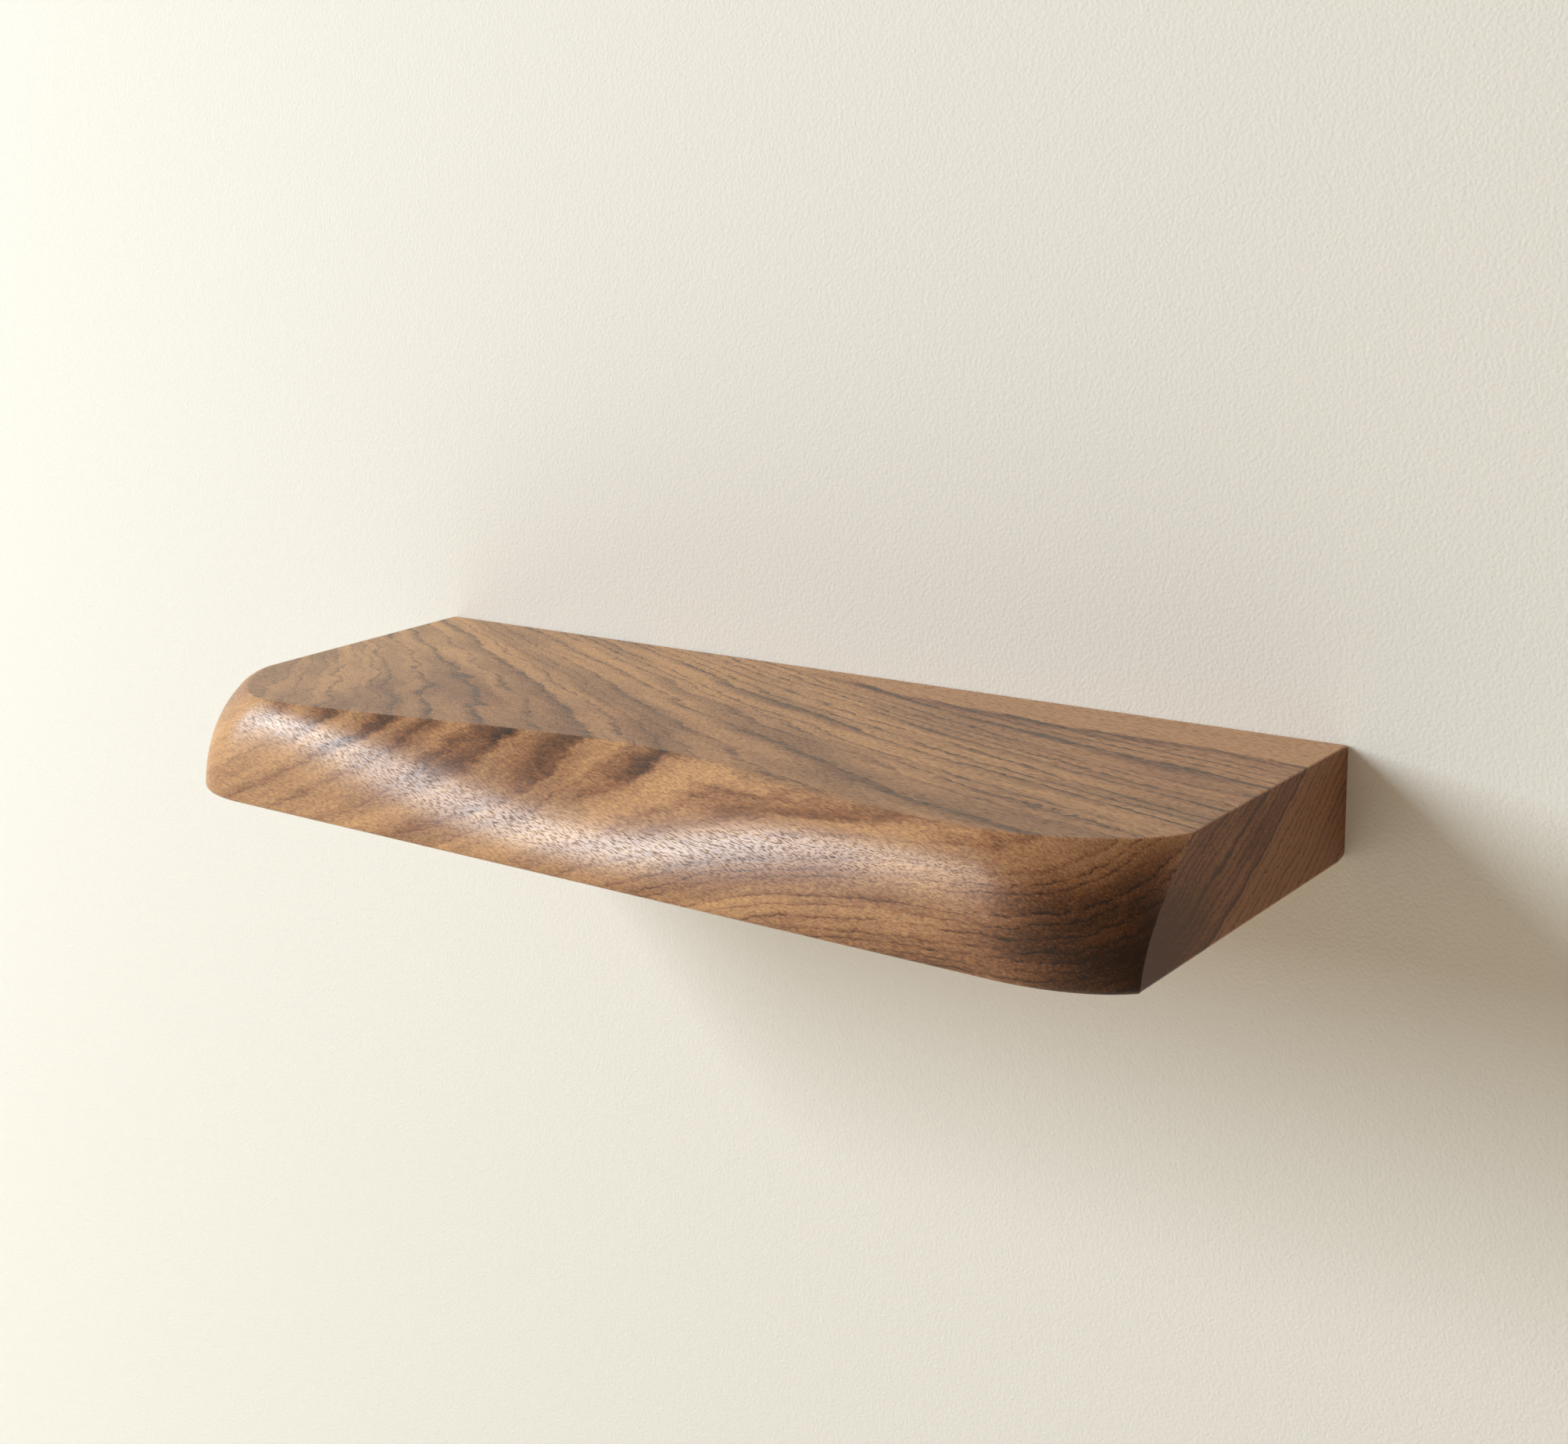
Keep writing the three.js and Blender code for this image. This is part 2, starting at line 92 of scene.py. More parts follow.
def threaded(reach, start, end, pitch, point=0.0, rows=8):
    """A threaded stretch: its thread runs in over half a turn, and out the same way or to a point."""
    count = round(abs(end - start) / pitch * rows)
    points = []
    for row in range(count + 1):
        along = start + (end - start) * row / count
        taper = min(abs(end - along) / point, 1.0) if point else 1.0
        run_out = 1.0 if point else abs(end - along) / (pitch / 2)
        running = min(abs(along - start) / (pitch / 2), run_out, 1.0)
        points.append((reach * taper, along, no_flats, running * taper))
    return points


def add_node(tree, kind, settings=None, inputs=None, stops=None):
    """Adds a node, with its settings, its values or links by input, and a ramp's stops."""
    made = tree.nodes.new(kind)
    for name, value in (settings or {}).items():
        setattr(made, name, value)
    for key, value in (inputs or {}).items():
        named = [socket for socket in made.inputs if socket.enabled and socket.name == key]
        target = made.inputs[key] if isinstance(key, int) else named[0]
        if isinstance(value, bpy.types.Node):
            value = next(socket for socket in value.outputs if socket.enabled)
        if isinstance(value, bpy.types.NodeSocket):
            tree.links.new(value, target)
        else:
            target.default_value = value
    if stops:
        elements = made.color_ramp.elements
        while len(elements) < len(stops):
            elements.new(1)
        for element, (place, colour) in zip(elements, stops):
            element.position = place
            element.color = colour
    return made


# The lathe: an outline goes round in a circle, is milled to its hexagon, threaded and slotted,
# and the finished piece is set at every place. A thread's flank runs between two shares of its
# pitch, counted from the middle of its crest.
flank_start, flank_end = 0.06, 0.44
half = 0.5
half_side = pi / 6
saw_length = 100 * mm
weld = 0.001 * mm
multiply = {"operation": "MULTIPLY"}
multiply_add = {"operation": "MULTIPLY_ADD"}
subtract = {"operation": "SUBTRACT"}
divide = {"operation": "DIVIDE"}

lathe = bpy.data.node_groups.new("lathe", "GeometryNodeTree")
for title, kind in (
    ("Places", "NodeSocketGeometry"),
    ("Outline", "NodeSocketObject"),
    ("Sides", "NodeSocketInt"),
    ("Axis", "NodeSocketVector"),
    ("Thread pitch", "NodeSocketFloat"),
    ("Thread depth", "NodeSocketFloat"),
    ("Slot width", "NodeSocketFloat"),
    ("Slot start", "NodeSocketFloat"),
    ("Slot length", "NodeSocketFloat"),
    ("Seed", "NodeSocketInt"),
    ("Finish", "NodeSocketMaterial"),
):
    lathe.interface.new_socket(title, in_out="INPUT", socket_type=kind)
lathe.interface.new_socket("Pieces", in_out="OUTPUT", socket_type="NodeSocketGeometry")
given = add_node(lathe, "NodeGroupInput").outputs

drawn = add_node(lathe, "GeometryNodeObjectInfo", inputs={"Object": given["Outline"]})
profile = add_node(lathe, "GeometryNodeMeshToCurve", inputs={"Mesh": drawn.outputs["Geometry"]})
circle = add_node(lathe, "GeometryNodeCurvePrimitiveCircle", inputs={"Resolution": given["Sides"]})
swept = add_node(lathe, "GeometryNodeCurveToMesh", inputs={"Curve": circle, "Profile Curve": profile})
reach, along, apothem, thread = (
    add_node(lathe, "GeometryNodeInputNamedAttribute", inputs={"Name": name})
    for name in ("reach", "along", "apothem", "thread")
)
swept_place = add_node(lathe, "GeometryNodeInputPosition")
level_place = add_node(lathe, "ShaderNodeVectorMath", multiply, {0: swept_place, 1: (1, 1, 0)})
heading = add_node(lathe, "ShaderNodeVectorMath", {"operation": "NORMALIZE"}, {0: level_place})
heading_x, heading_y, _ = add_node(lathe, "ShaderNodeSeparateXYZ", inputs={"Vector": heading}).outputs
angle = add_node(lathe, "ShaderNodeMath", {"operation": "ARCTAN2"}, {0: heading_y, 1: heading_x})
from_flat = add_node(
    lathe, "ShaderNodeMath", {"operation": "WRAP"}, {0: angle, 1: half_side, 2: -half_side}
)
flat_cosine = add_node(lathe, "ShaderNodeMath", {"operation": "COSINE"}, {0: from_flat})
to_flat = add_node(lathe, "ShaderNodeMath", divide, {0: apothem, 1: flat_cosine})
milled = add_node(lathe, "ShaderNodeMath", {"operation": "MINIMUM"}, {0: reach, 1: to_flat})
turns = add_node(lathe, "ShaderNodeMath", divide, {0: angle, 1: 2 * pi})
pitches = add_node(lathe, "ShaderNodeMath", divide, {0: along, 1: given["Thread pitch"]})
helix = add_node(lathe, "ShaderNodeMath", subtract, {0: pitches, 1: turns})
from_crest = add_node(lathe, "ShaderNodeMath", {"operation": "PINGPONG"}, {0: helix, 1: half})
groove = add_node(
    lathe,
    "ShaderNodeMapRange",
    inputs={"Value": from_crest, "From Min": flank_start, "From Max": flank_end},
)
groove_depth = add_node(lathe, "ShaderNodeMath", multiply, {0: thread, 1: given["Thread depth"]})
cut_in = add_node(lathe, "ShaderNodeMath", multiply, {0: groove, 1: groove_depth})
final_reach = add_node(lathe, "ShaderNodeMath", subtract, {0: milled, 1: cut_in})
outward = add_node(
    lathe, "ShaderNodeVectorMath", {"operation": "SCALE"}, {0: heading, "Scale": final_reach}
)
upward = add_node(lathe, "ShaderNodeCombineXYZ", inputs={"Z": along})
final_place = add_node(lathe, "ShaderNodeVectorMath", {"operation": "ADD"}, {0: outward, 1: upward})
shaped = add_node(
    lathe, "GeometryNodeSetPosition", inputs={"Geometry": swept, "Position": final_place}
)
merged = add_node(lathe, "GeometryNodeMergeByDistance", inputs={"Geometry": shaped, "Distance": weld})
faced_out = add_node(lathe, "GeometryNodeFlipFaces", inputs={"Mesh": merged})

slot_size = add_node(
    lathe,
    "ShaderNodeCombineXYZ",
    inputs={"X": given["Slot width"], "Y": saw_length, "Z": given["Slot length"]},
)
slot_middle = add_node(
    lathe, "ShaderNodeMath", multiply_add, {0: given["Slot length"], 1: half, 2: given["Slot start"]}
)
slot_place = add_node(lathe, "ShaderNodeCombineXYZ", inputs={"Z": slot_middle})
saw = add_node(lathe, "GeometryNodeMeshCube", inputs={"Size": slot_size})
placed_saw = add_node(
    lathe, "GeometryNodeTransform", inputs={"Geometry": saw, "Translation": slot_place}
)
slotted = add_node(
    lathe,
    "GeometryNodeMeshBoolean",
    {"operation": "DIFFERENCE", "solver": "EXACT"},
    {"Mesh 1": faced_out, "Mesh 2": placed_saw},
)
finished = add_node(
    lathe,
    "GeometryNodeSwitch",
    {"input_type": "GEOMETRY"},
    {"Switch": given["Slot length"], "False": faced_out, "True": slotted},
)

stood = add_node(
    lathe, "FunctionNodeAlignRotationToVector", {"axis": "Z"}, {"Vector": given["Axis"]}
)
by_chance = add_node(
    lathe, "FunctionNodeRandomValue", {"data_type": "FLOAT"}, {"Max": 2 * pi, "Seed": given["Seed"]}
)
spin = add_node(
    lathe, "FunctionNodeAxisAngleToRotation", inputs={"Axis": (0, 0, 1), "Angle": by_chance}
)
spun = add_node(
    lathe,
    "FunctionNodeRotateRotation",
    {"rotation_space": "LOCAL"},
    {"Rotation": stood, "Rotate By": spin},
)
set_in_place = add_node(
    lathe,
    "GeometryNodeInstanceOnPoints",
    inputs={"Points": given["Places"], "Instance": finished, "Rotation": spun},
)
real = add_node(lathe, "GeometryNodeRealizeInstances", inputs={"Geometry": set_in_place})
finish_given = add_node(
    lathe, "GeometryNodeSetMaterial", inputs={"Geometry": real, "Material": given["Finish"]}
)
add_node(lathe, "NodeGroupOutput", inputs={"Pieces": finish_given})


def new_object(name, points, edges=(), faces=()):
    """A new mesh object in the scene."""
    mesh = bpy.data.meshes.new(name)
    mesh.from_pydata([tuple(point) for point in points], edges, faces)
    made = bpy.data.objects.new(name, mesh)
    bpy.context.scene.collection.objects.link(made)
    return made


def made_plain(piece):
    """Gives a piece the mesh that its modifiers make, and removes them."""
    graph = bpy.context.evaluated_depsgraph_get()
    mesh = bpy.data.meshes.new_from_object(piece.evaluated_get(graph))
    piece.modifiers.clear()
    piece.data = mesh
    mesh.name = piece.name


def shaded(piece, angle=30):
    """Shades a piece smooth, with sharp edges where its faces meet at more than an angle."""
    for polygon in piece.data.polygons:
        polygon.use_smooth = True
    piece.data.set_sharp_from_angle(angle=radians(angle))


def turned(name, outline, places, axis, finish, hollow=False, sides=48, sizes=None):
    """Like pieces on the lathe, one at each place, as one mesh; realizing leaves an empty slot."""
    count = len(outline)
    edges = [(step, step + 1) for step in range(count - 1)]
    if hollow:
        edges.append((count - 1, 0))
    drawn_points = [(reach, along, 0) for reach, along, _, _ in outline]
    template = new_object(name + "_outline", drawn_points, edges)
    for column, title in enumerate(("reach", "along", "apothem", "thread")):
        attribute = template.data.attributes.new(title, "FLOAT", "POINT")
        attribute.data.foreach_set("value", [point[column] for point in outline])
    piece = new_object(name, places)
    maker = piece.modifiers.new("lathe", "NODES")
    maker.node_group = lathe
    given_sizes = {"Outline": template, "Sides": sides, "Axis": axis, "Finish": finish, **(sizes or {})}
    for socket in lathe.interface.items_tree:
        if socket.name in given_sizes:
            maker[socket.identifier] = given_sizes[socket.name]
    made_plain(piece)
    piece.data.materials.pop(index=0)
    bpy.data.objects.remove(template)
    shaded(piece)
    return piece


def linear(hex_colour):
    """A colour written as sRGB hex digits, as the linear values that a socket takes."""
    shares = [int(hex_colour[place : place + 2], 16) / 255 for place in (0, 2, 4)]
    return [s / 12.92 if s <= 0.04045 else ((s + 0.055) / 1.055) ** 2.4 for s in shares] + [1]


def new_material(name):
    """A new material with an empty node tree."""
    material = bpy.data.materials.new(name)
    material.use_nodes = True
    material.node_tree.nodes.clear()
    return material, material.node_tree


def patterned(name, patterns, colours, skin, dullness=None, relief=None):
    """A finish from patterns, each by its grains' size in mm, and from what follows which pattern."""
    material, tree = new_material(name)
    place = add_node(tree, "ShaderNodeTexCoord").outputs["Object"]
    noises = {}
    for title, (grain, more) in patterns.items():
        grains = add_node(
            tree, "ShaderNodeVectorMath", multiply, {0: place, 1: [1 / (size * mm) for size in grain]}
        )
        noises[title] = add_node(
            tree, "ShaderNodeTexNoise", inputs={"Vector": grains, "Scale": 1.0, **more}
        )
    coloured_by, by_place = colours
    stops = [(place_on_ramp, linear(hex_colour)) for place_on_ramp, hex_colour in by_place.items()]
    follows = {
        "Base Color": add_node(
            tree, "ShaderNodeValToRGB", inputs={"Fac": noises[coloured_by]}, stops=stops
        )
    }
    if dullness:
        dulled_by, spread = dullness
        follows["Roughness"] = add_node(
            tree, "ShaderNodeMapRange", inputs={"Value": noises[dulled_by], **spread}
        )
    if relief:
        raised_by, height = relief
        follows["Normal"] = add_node(
            tree, "ShaderNodeBump", inputs={"Height": noises[raised_by], **height}
        )
    surface = add_node(tree, "ShaderNodeBsdfPrincipled", inputs={**skin, **follows})
    add_node(tree, "ShaderNodeOutputMaterial", inputs={"Surface": surface})
    return material


# Moulded nylon lets a little light in, and its skin keeps the fine dull texture of the mould.
nylon = patterned(
    "moulded_grey_nylon",
    {"mould": ((0.4, 0.4, 0.4), {"Detail": 2.0}), "flow": ((8, 8, 8), {"Detail": 3.0})},
    ("flow", {0.3: "a9aca7", 0.7: "c2c4be"}),
    {"Roughness": 0.5, "IOR": 1.53, "Subsurface Weight": 0.15, "Subsurface Scale": 1 * mm},
    relief=("mould", {"Strength": 0.25, "Distance": 0.1 * mm}),
)

plug_nodes = [f"wall_plug_{number}" for number in range(1, 5)]
plug_size = node_box(plug_nodes[0])[1]
plug_length = plug_size.y
plug_rim = plug_size.x / 2
plug_root = plug_rim - plug_barb_depth
barb_pitch = (plug_length - plug_collar) / plug_barbs
plug_skin = [(plug_bore / 2, 0), (plug_rim, 0), (plug_rim, plug_collar)]
for barb in range(plug_barbs):
    barb_start = plug_collar + barb * barb_pitch
    plug_skin += [
        (plug_root, barb_start),
        (plug_rim, barb_start + barb_pitch * plug_barb_ramp_share),
        (plug_root, barb_start + barb_pitch),
    ]
plug_skin += [(plug_bore / 2 + moulded_edge, plug_length), (plug_bore / 2, plug_length)]
plug_places = [node_box(node)[0] - Vector((0, plug_length / 2, 0)) for node in plug_nodes]
wall_plugs = turned(
    "wall_plugs",
    plain(eased(plug_skin, moulded_edge)),
    plug_places,
    (0, 1, 0),
    nylon,
    hollow=True,
    sizes={
        "Slot width": plug_slit_width,
        "Slot start": plug_length - plug_slit_length,
        "Slot length": plug_slit_length + overrun,
    },
)
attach(wall_plugs, "bracket")
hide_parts(*plug_nodes)


# The wall plate is flat steel bar, cut to length, drilled for the plugs and countersunk from
# behind for the two rod bolts, then powder coated. It carries everything else on the wall.
plate_corner = 5 * mm
plate_ease = 0.5 * mm
plug_hole = 10.6 * mm
bolt_hole = 8.6 * mm
countersink_mouth = 17.2 * mm
coated_edge = 0.4 * mm
corner_steps = 8


def slab(name, middle, length, height, corner, levels):
    """A bar with round corners in the plane of the wall, drawn by its place and inset at each level."""
    points = []
    for y, inset in levels:
        radius = corner - inset
        for side_x, side_z, turn in ((1, 1, 0), (-1, 1, 1), (-1, -1, 2), (1, -1, 3)):
            x = middle.x + side_x * (length / 2 - corner)
            z = middle.z + side_z * (height / 2 - corner)
            for step in range(corner_steps + 1):
                angle = (turn + step / corner_steps) * pi / 2
                points.append((x + radius * cos(angle), y, z + radius * sin(angle)))
    around = 4 * (corner_steps + 1)
    quads = [
        (
            level * around + place,
            level * around + (place + 1) % around,
            (level + 1) * around + (place + 1) % around,
            (level + 1) * around + place,
        )
        for level in range(len(levels) - 1)
        for place in range(around)
    ]
    last = (len(levels) - 1) * around
    caps = [tuple(reversed(range(around))), tuple(range(last, last + around))]
    return new_object(name, points, faces=[*quads, *caps])


def cut(piece, cutter):
    """Cuts a piece with a cutter, which leaves its own material on the faces that it cuts."""
    tool = piece.modifiers.new(cutter.name, "BOOLEAN")
    tool.operation = "DIFFERENCE"
    tool.solver = "EXACT"
    tool.material_mode = "TRANSFER"
    tool.object = cutter
    made_plain(piece)
    bpy.data.objects.remove(cutter)


# Powder coat flows a little as it is baked, so it is matt, with a soft orange peel and a fine
# grit that shows as a change of grey.
powder_coat = patterned(
    "black_powder_coat",
    {
        "orange peel": ((1.6, 1.6, 1.6), {"Detail": 2.0, "Roughness": 0.4}),
        "grit": ((0.5, 0.5, 0.5), {"Detail": 2.0}),
    },
    ("grit", {0.35: "202224", 0.7: "303335"}),
    {"IOR": 1.5},
    dullness=("orange peel", {"To Min": 0.45, "To Max": 0.62}),
    relief=("orange peel", {"Strength": 0.5, "Distance": 0.15 * mm}),
)

plate_middle, plate_size = node_box("wall_plate")
plate_front = plate_middle.y - plate_size.y / 2
rod_nodes = ["support_rod_left", "support_rod_right"]
rod_places = [Vector((node_box(node)[0].x, 0, 0)) for node in rod_nodes]
hole_places = [Vector((place.x, 0, 0)) for place in plug_places]
wall_plate = slab(
    "wall_plate_bar",
    plate_middle,
    plate_size.x,
    plate_size.z,
    plate_corner,
    [
        (0, plate_ease),
        (-plate_ease, 0),
        (plate_front + plate_ease, 0),
        (plate_front, plate_ease),
    ],
)
wall_plate.data.materials.append(powder_coat)
through_hole = [
    (0, plate_front - overrun),
    (plug_hole / 2 + coated_edge + overrun, plate_front - overrun),
    (plug_hole / 2, plate_front + coated_edge),
    (plug_hole / 2, -coated_edge),
    (plug_hole / 2 + coated_edge + overrun, overrun),
    (0, overrun),
]
countersink = [
    (0, plate_front - overrun),
    (bolt_hole / 2 + coated_edge + overrun, plate_front - overrun),
    (bolt_hole / 2, plate_front + coated_edge),
    (bolt_hole / 2, -(countersink_mouth - bolt_hole) / 2),
    (countersink_mouth / 2 + overrun, overrun),
    (0, overrun),
]
cut(wall_plate, turned("plug_holes", plain(through_hole), hole_places, (0, 1, 0), powder_coat))
cut(wall_plate, turned("countersinks", plain(countersink), rod_places, (0, 1, 0), powder_coat))
shaded(wall_plate)
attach(wall_plate, "bracket")
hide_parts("wall_plate")


# The two support rods are turned from bright steel bar, chamfered at the tip so that the board
# slides on, and tapped in the end that meets the plate.
rod_chamfer = 1.5 * mm
rod_tapping = 8.6 * mm
rod_tapping_depth = 24 * mm
rod_sides = 72
machined_edge = 0.25 * mm

# Turned bar shows fine rings from the lathe tool, drawn half a millimetre apart so that they
# show, and a few duller bands from handling.
bright_steel = patterned(
    "bright_turned_steel",
    {
        "tool rings": ((30, 0.5, 30), {"Detail": 1.0}),
        "handling": ((14, 14, 14), {"Detail": 4.0}),
    },
    ("tool rings", {0.3: "a3a6aa", 0.7: "bfc2c5"}),
    {"Metallic": 1.0},
    dullness=("handling", {"From Min": 0.35, "From Max": 0.7, "To Min": 0.2, "To Max": 0.38}),
    relief=("tool rings", {"Strength": 0.2, "Distance": 0.05 * mm}),
)

rod_middle, rod_size = node_box(rod_nodes[0])
rod_radius = rod_size.x / 2
rod_length = rod_size.y
rod_back = rod_middle.y + rod_length / 2
rod_outline = [
    (rod_tapping / 2, 0),
    (rod_radius, 0),
    (rod_radius, rod_length - rod_chamfer),
    (rod_radius - rod_chamfer, rod_length),
    (0, rod_length),
]
support_rods = turned(
    "support_rods",
    [
        *plain([(0, rod_tapping_depth + rod_tapping / 4), (rod_tapping / 2, rod_tapping_depth)]),
        *plain(eased(rod_outline, machined_edge)),
    ],
    [place + Vector((0, rod_back, 0)) for place in rod_places],
    (0, -1, 0),
    bright_steel,
    sides=rod_sides,
)
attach(support_rods, "bracket")
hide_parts(*rod_nodes)


# Two countersunk M8 machine screws hold the rods from behind. They are rolled and plated, and
# their hexagon sockets are pressed in.
bolt_shank = 4 * mm
bolt_pitch = 1.25 * mm
bolt_thread_depth = 0.6 * mm
bolt_head_rim = 0.4 * mm
bolt_face = 3.25 * mm
bolt_socket = {"size": 5 * mm, "depth": 2.5 * mm, "rim": 0.4 * mm, "mouth": 3 * mm}


def hexagon_socket(size, depth, rim, mouth):
    """A hexagon socket in an outline, from the drill's point at its floor to its round mouth."""
    drill = size / 3
    return [
        *plain([(0, depth + drill / 2), (drill, depth)]),
        *plain([(size, depth), (size, rim)], size),
        *plain([(mouth, 0)]),
    ]


# Zinc plate is a bluish, slightly mottled satin metal, duller and yellower where it was handled.
zinc_plate = patterned(
    "zinc_plated_steel",
    {"mottle": ((3, 3, 3), {"Detail": 4.0}), "grain": ((0.4, 0.4, 0.4), {"Detail": 2.0})},
    ("mottle", {0.3: "b4b1a4", 0.5: "a9adb2", 0.75: "bcc1c6"}),
    {"Metallic": 1.0},
    dullness=("mottle", {"From Min": 0.3, "From Max": 0.7, "To Min": 0.45, "To Max": 0.3}),
    relief=("grain", {"Strength": 0.15, "Distance": 0.05 * mm}),
)

bolt_nodes = ["rod_bolt_left", "rod_bolt_right"]
bolt_middle, bolt_size = node_box(bolt_nodes[0])
bolt_length = bolt_size.y
bolt_head = bolt_size.x / 2
bolt_back = bolt_middle.y + bolt_length / 2
head_bottom = bolt_head_rim + bolt_head - bolt_shank
thread_top = head_bottom + bolt_pitch
head_outline = [
    (bolt_face, 0),
    (bolt_head, 0),
    (bolt_head, bolt_head_rim),
    (bolt_shank, head_bottom),
    (bolt_shank, thread_top),
]
rod_bolts = turned(
    "rod_bolts",
    [
        *hexagon_socket(**bolt_socket),
        *plain(eased(head_outline, machined_edge)),
        *threaded(bolt_shank, thread_top + bolt_pitch / 2, bolt_length - machined_edge, bolt_pitch),
        *plain([(bolt_shank - bolt_thread_depth, bolt_length), (0, bolt_length)]),
    ],
    [place + Vector((0, bolt_back, 0)) for place in rod_places],
    (0, -1, 0),
    zinc_plate,
    sizes={"Thread pitch": bolt_pitch, "Thread depth": bolt_thread_depth},
)
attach(rod_bolts, "bracket")
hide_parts(*bolt_nodes)


# A washer under each wall screw is stamped from zinc plated sheet and covers the hole in the
# plate. Its edges are rounded, as stamping and tumbling leave them.
stamped_edge = 0.35 * mm
washer_sides = 60
washer_nodes = [f"wall_washer_{number}" for number in range(1, 5)]
washer_size = node_box(washer_nodes[0])[1]
washer_rim = washer_size.x / 2
washer_bore = plug_bore / 2
washer_thickness = washer_size.y
washer_outline = eased(
    [
        (washer_bore, washer_thickness / 2),
        (washer_bore, 0),
        (washer_rim, 0),
        (washer_rim, washer_thickness),
        (washer_bore, washer_thickness),
        (washer_bore, washer_thickness / 2),
    ],
    stamped_edge,
)
wall_washers = turned(
    "wall_washers",
    plain(washer_outline[:-1]),
    [node_box(node)[0] + Vector((0, washer_thickness / 2, 0)) for node in washer_nodes],
    (0, -1, 0),
    zinc_plate,
    hollow=True,
    sides=washer_sides,
)
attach(wall_washers, "bracket")
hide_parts(*washer_nodes)


# Four wall screws, 7 x 60 mm with a hexagon head: cold headed, thread rolled and zinc plated.
# They pass through the washers and plate into the plugs, and no two stop at the same turn.
screw_head = 12 * mm
screw_head_height = 5 * mm
screw_head_chamfer = 0.8 * mm
screw_face = 5.7 * mm
screw_dish = {"depth": 0.2 * mm, "floor": 3.6 * mm, "rim": 4.32 * mm}
screw_shank = 3.5 * mm
screw_plain_length = 20 * mm
screw_point_length = 8 * mm
screw_sides = 36
screw_thread = {"Thread pitch": 4 * mm, "Thread depth": 1.0 * mm, "Seed": 3}
screw_nodes = [f"wall_screw_{number}" for number in range(1, 5)]
screw_length = node_box(screw_nodes[0])[1].y
thread_start = screw_head_height + screw_plain_length
screw_corner = screw_head / 2 / cos(half_side)
hexagon_head = [
    (0, screw_dish["depth"]),
    (screw_dish["floor"], screw_dish["depth"]),
    (screw_dish["rim"], 0),
    (screw_face, 0),
    (screw_corner, screw_head_chamfer),
    (screw_corner, screw_head_height - machined_edge),
    (screw_corner - machined_edge, screw_head_height),
]
round_shank = [
    (screw_shank + machined_edge, screw_head_height),
    (screw_shank, screw_head_height + machined_edge),
    (screw_shank, thread_start - overrun),
]
wall_screws = turned(
    "wall_screws",
    [
        *plain(hexagon_head, screw_head),
        *plain(round_shank),
        *threaded(
            screw_shank,
            thread_start,
            screw_length,
            screw_thread["Thread pitch"],
            point=screw_point_length,
        ),
    ],
    [node_box(node)[0] - Vector((0, screw_length / 2, 0)) for node in screw_nodes],
    (0, 1, 0),
    zinc_plate,
    sides=screw_sides,
    sizes=screw_thread,
)
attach(wall_screws, "bracket")
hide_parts(*screw_nodes)


# The board is one piece of solid walnut. It is planed and bored square, then its front is shaped
# by hand with drawknife and spokeshave, its edges are eased with paper and it is oiled.
board_low, board_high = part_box("shelf_board")
left_x, right_x = board_low.x, board_high.x
front_y = board_low.y
top_z, under_z = board_high.z, board_low.z
crisp_edge = 0.9 * mm
soft_edge = 6 * mm
end_edge = 0.8 * mm
toe_edge = 2.5 * mm
back_top_edge = 3 * mm
back_lower_edge = 5 * mm
corner_edge = 1 * mm
flat_margin = 0.8 * mm
edge_steps = 6
face_steps = 44
left_span, fading_span, right_span = 0, 2, 3
span_steps = (40, 84, 84, 48)
end_face_shares = (0.01, 0.15, 0.4, 0.7)
skin_sharp_angle = 35

# The front is set out at five sections. The crest is its top edge and the toe its bottom edge:
# setbacks go back from the front line, and runs go in from the nearer end. From the crest the
# profile sets out over the crown, falling by a share of it, and it comes down to the toe over
# the rise, leaning in by the lean.
left_end = {
    "crest_setback": 75 * mm,
    "toe_setback": 30 * mm,
    "toe_turn": 90,
    "crown": 15 * mm,
    "fall_share": 0.36,
    "rise": 26 * mm,
    "lean": 3 * mm,
}
left_shoulder = {
    "crest_run": 66 * mm,
    "crest_setback": 14 * mm,
    "toe_run": 50 * mm,
    "crown": 11 * mm,
    "fall_share": 0.73,
    "rise": 37 * mm,
    "lean": 3 * mm,
}
waist = {
    "x": 5 * mm,
    "crest_setback": 48.5 * mm,
    "crown": 32 * mm,
    "fall_share": 0.65,
    "rise": 20 * mm,
    "lean": 2 * mm,
}
right_shoulder = {
    "crest_run": 92 * mm,
    "crest_setback": 22 * mm,
    "toe_run": 60 * mm,
    "crown": 15 * mm,
    "fall_share": 0.62,
    "rise": 43 * mm,
    "lean": 3 * mm,
}
right_end = {
    "crest_setback": 65 * mm,
    "toe_setback": 20 * mm,
    "toe_turn": 62,
    "crown": 13 * mm,
    "fall_share": 1.0,
    "rise": 27 * mm,
    "lean": 6 * mm,
}
sections = [left_end, left_shoulder, waist, right_shoulder, right_end]
crease_fade_share = 0.35


def cubic(a, b, c, d, share):
    """The point at a share of the way along a cubic curve."""
    rest = 1 - share
    return rest**3 * a + 3 * rest**2 * share * b + 3 * rest * share**2 * c + share**3 * d


# Between two sections the crest keeps its direction for a handle's length at either end.
crest_handles = (
    ((0, -20 * mm), (25 * mm, 0)),
    ((48 * mm, 0), (65 * mm, 0)),
    ((80 * mm, 0), (83 * mm, 0)),
    ((42 * mm, 0), (10 * mm, 23 * mm)),
)
crest_stops = [
    Vector((x, front_y + section["crest_setback"], top_z))
    for x, section in (
        (left_x, left_end),
        (left_x + left_shoulder["crest_run"], left_shoulder),
        (waist["x"], waist),
        (right_x - right_shoulder["crest_run"], right_shoulder),
        (right_x, right_end),
    )
]
crest_spans = [
    (start, start + Vector((*after, 0)), end - Vector((*before, 0)), end)
    for start, end, (after, before) in zip(crest_stops, crest_stops[1:], crest_handles)
]


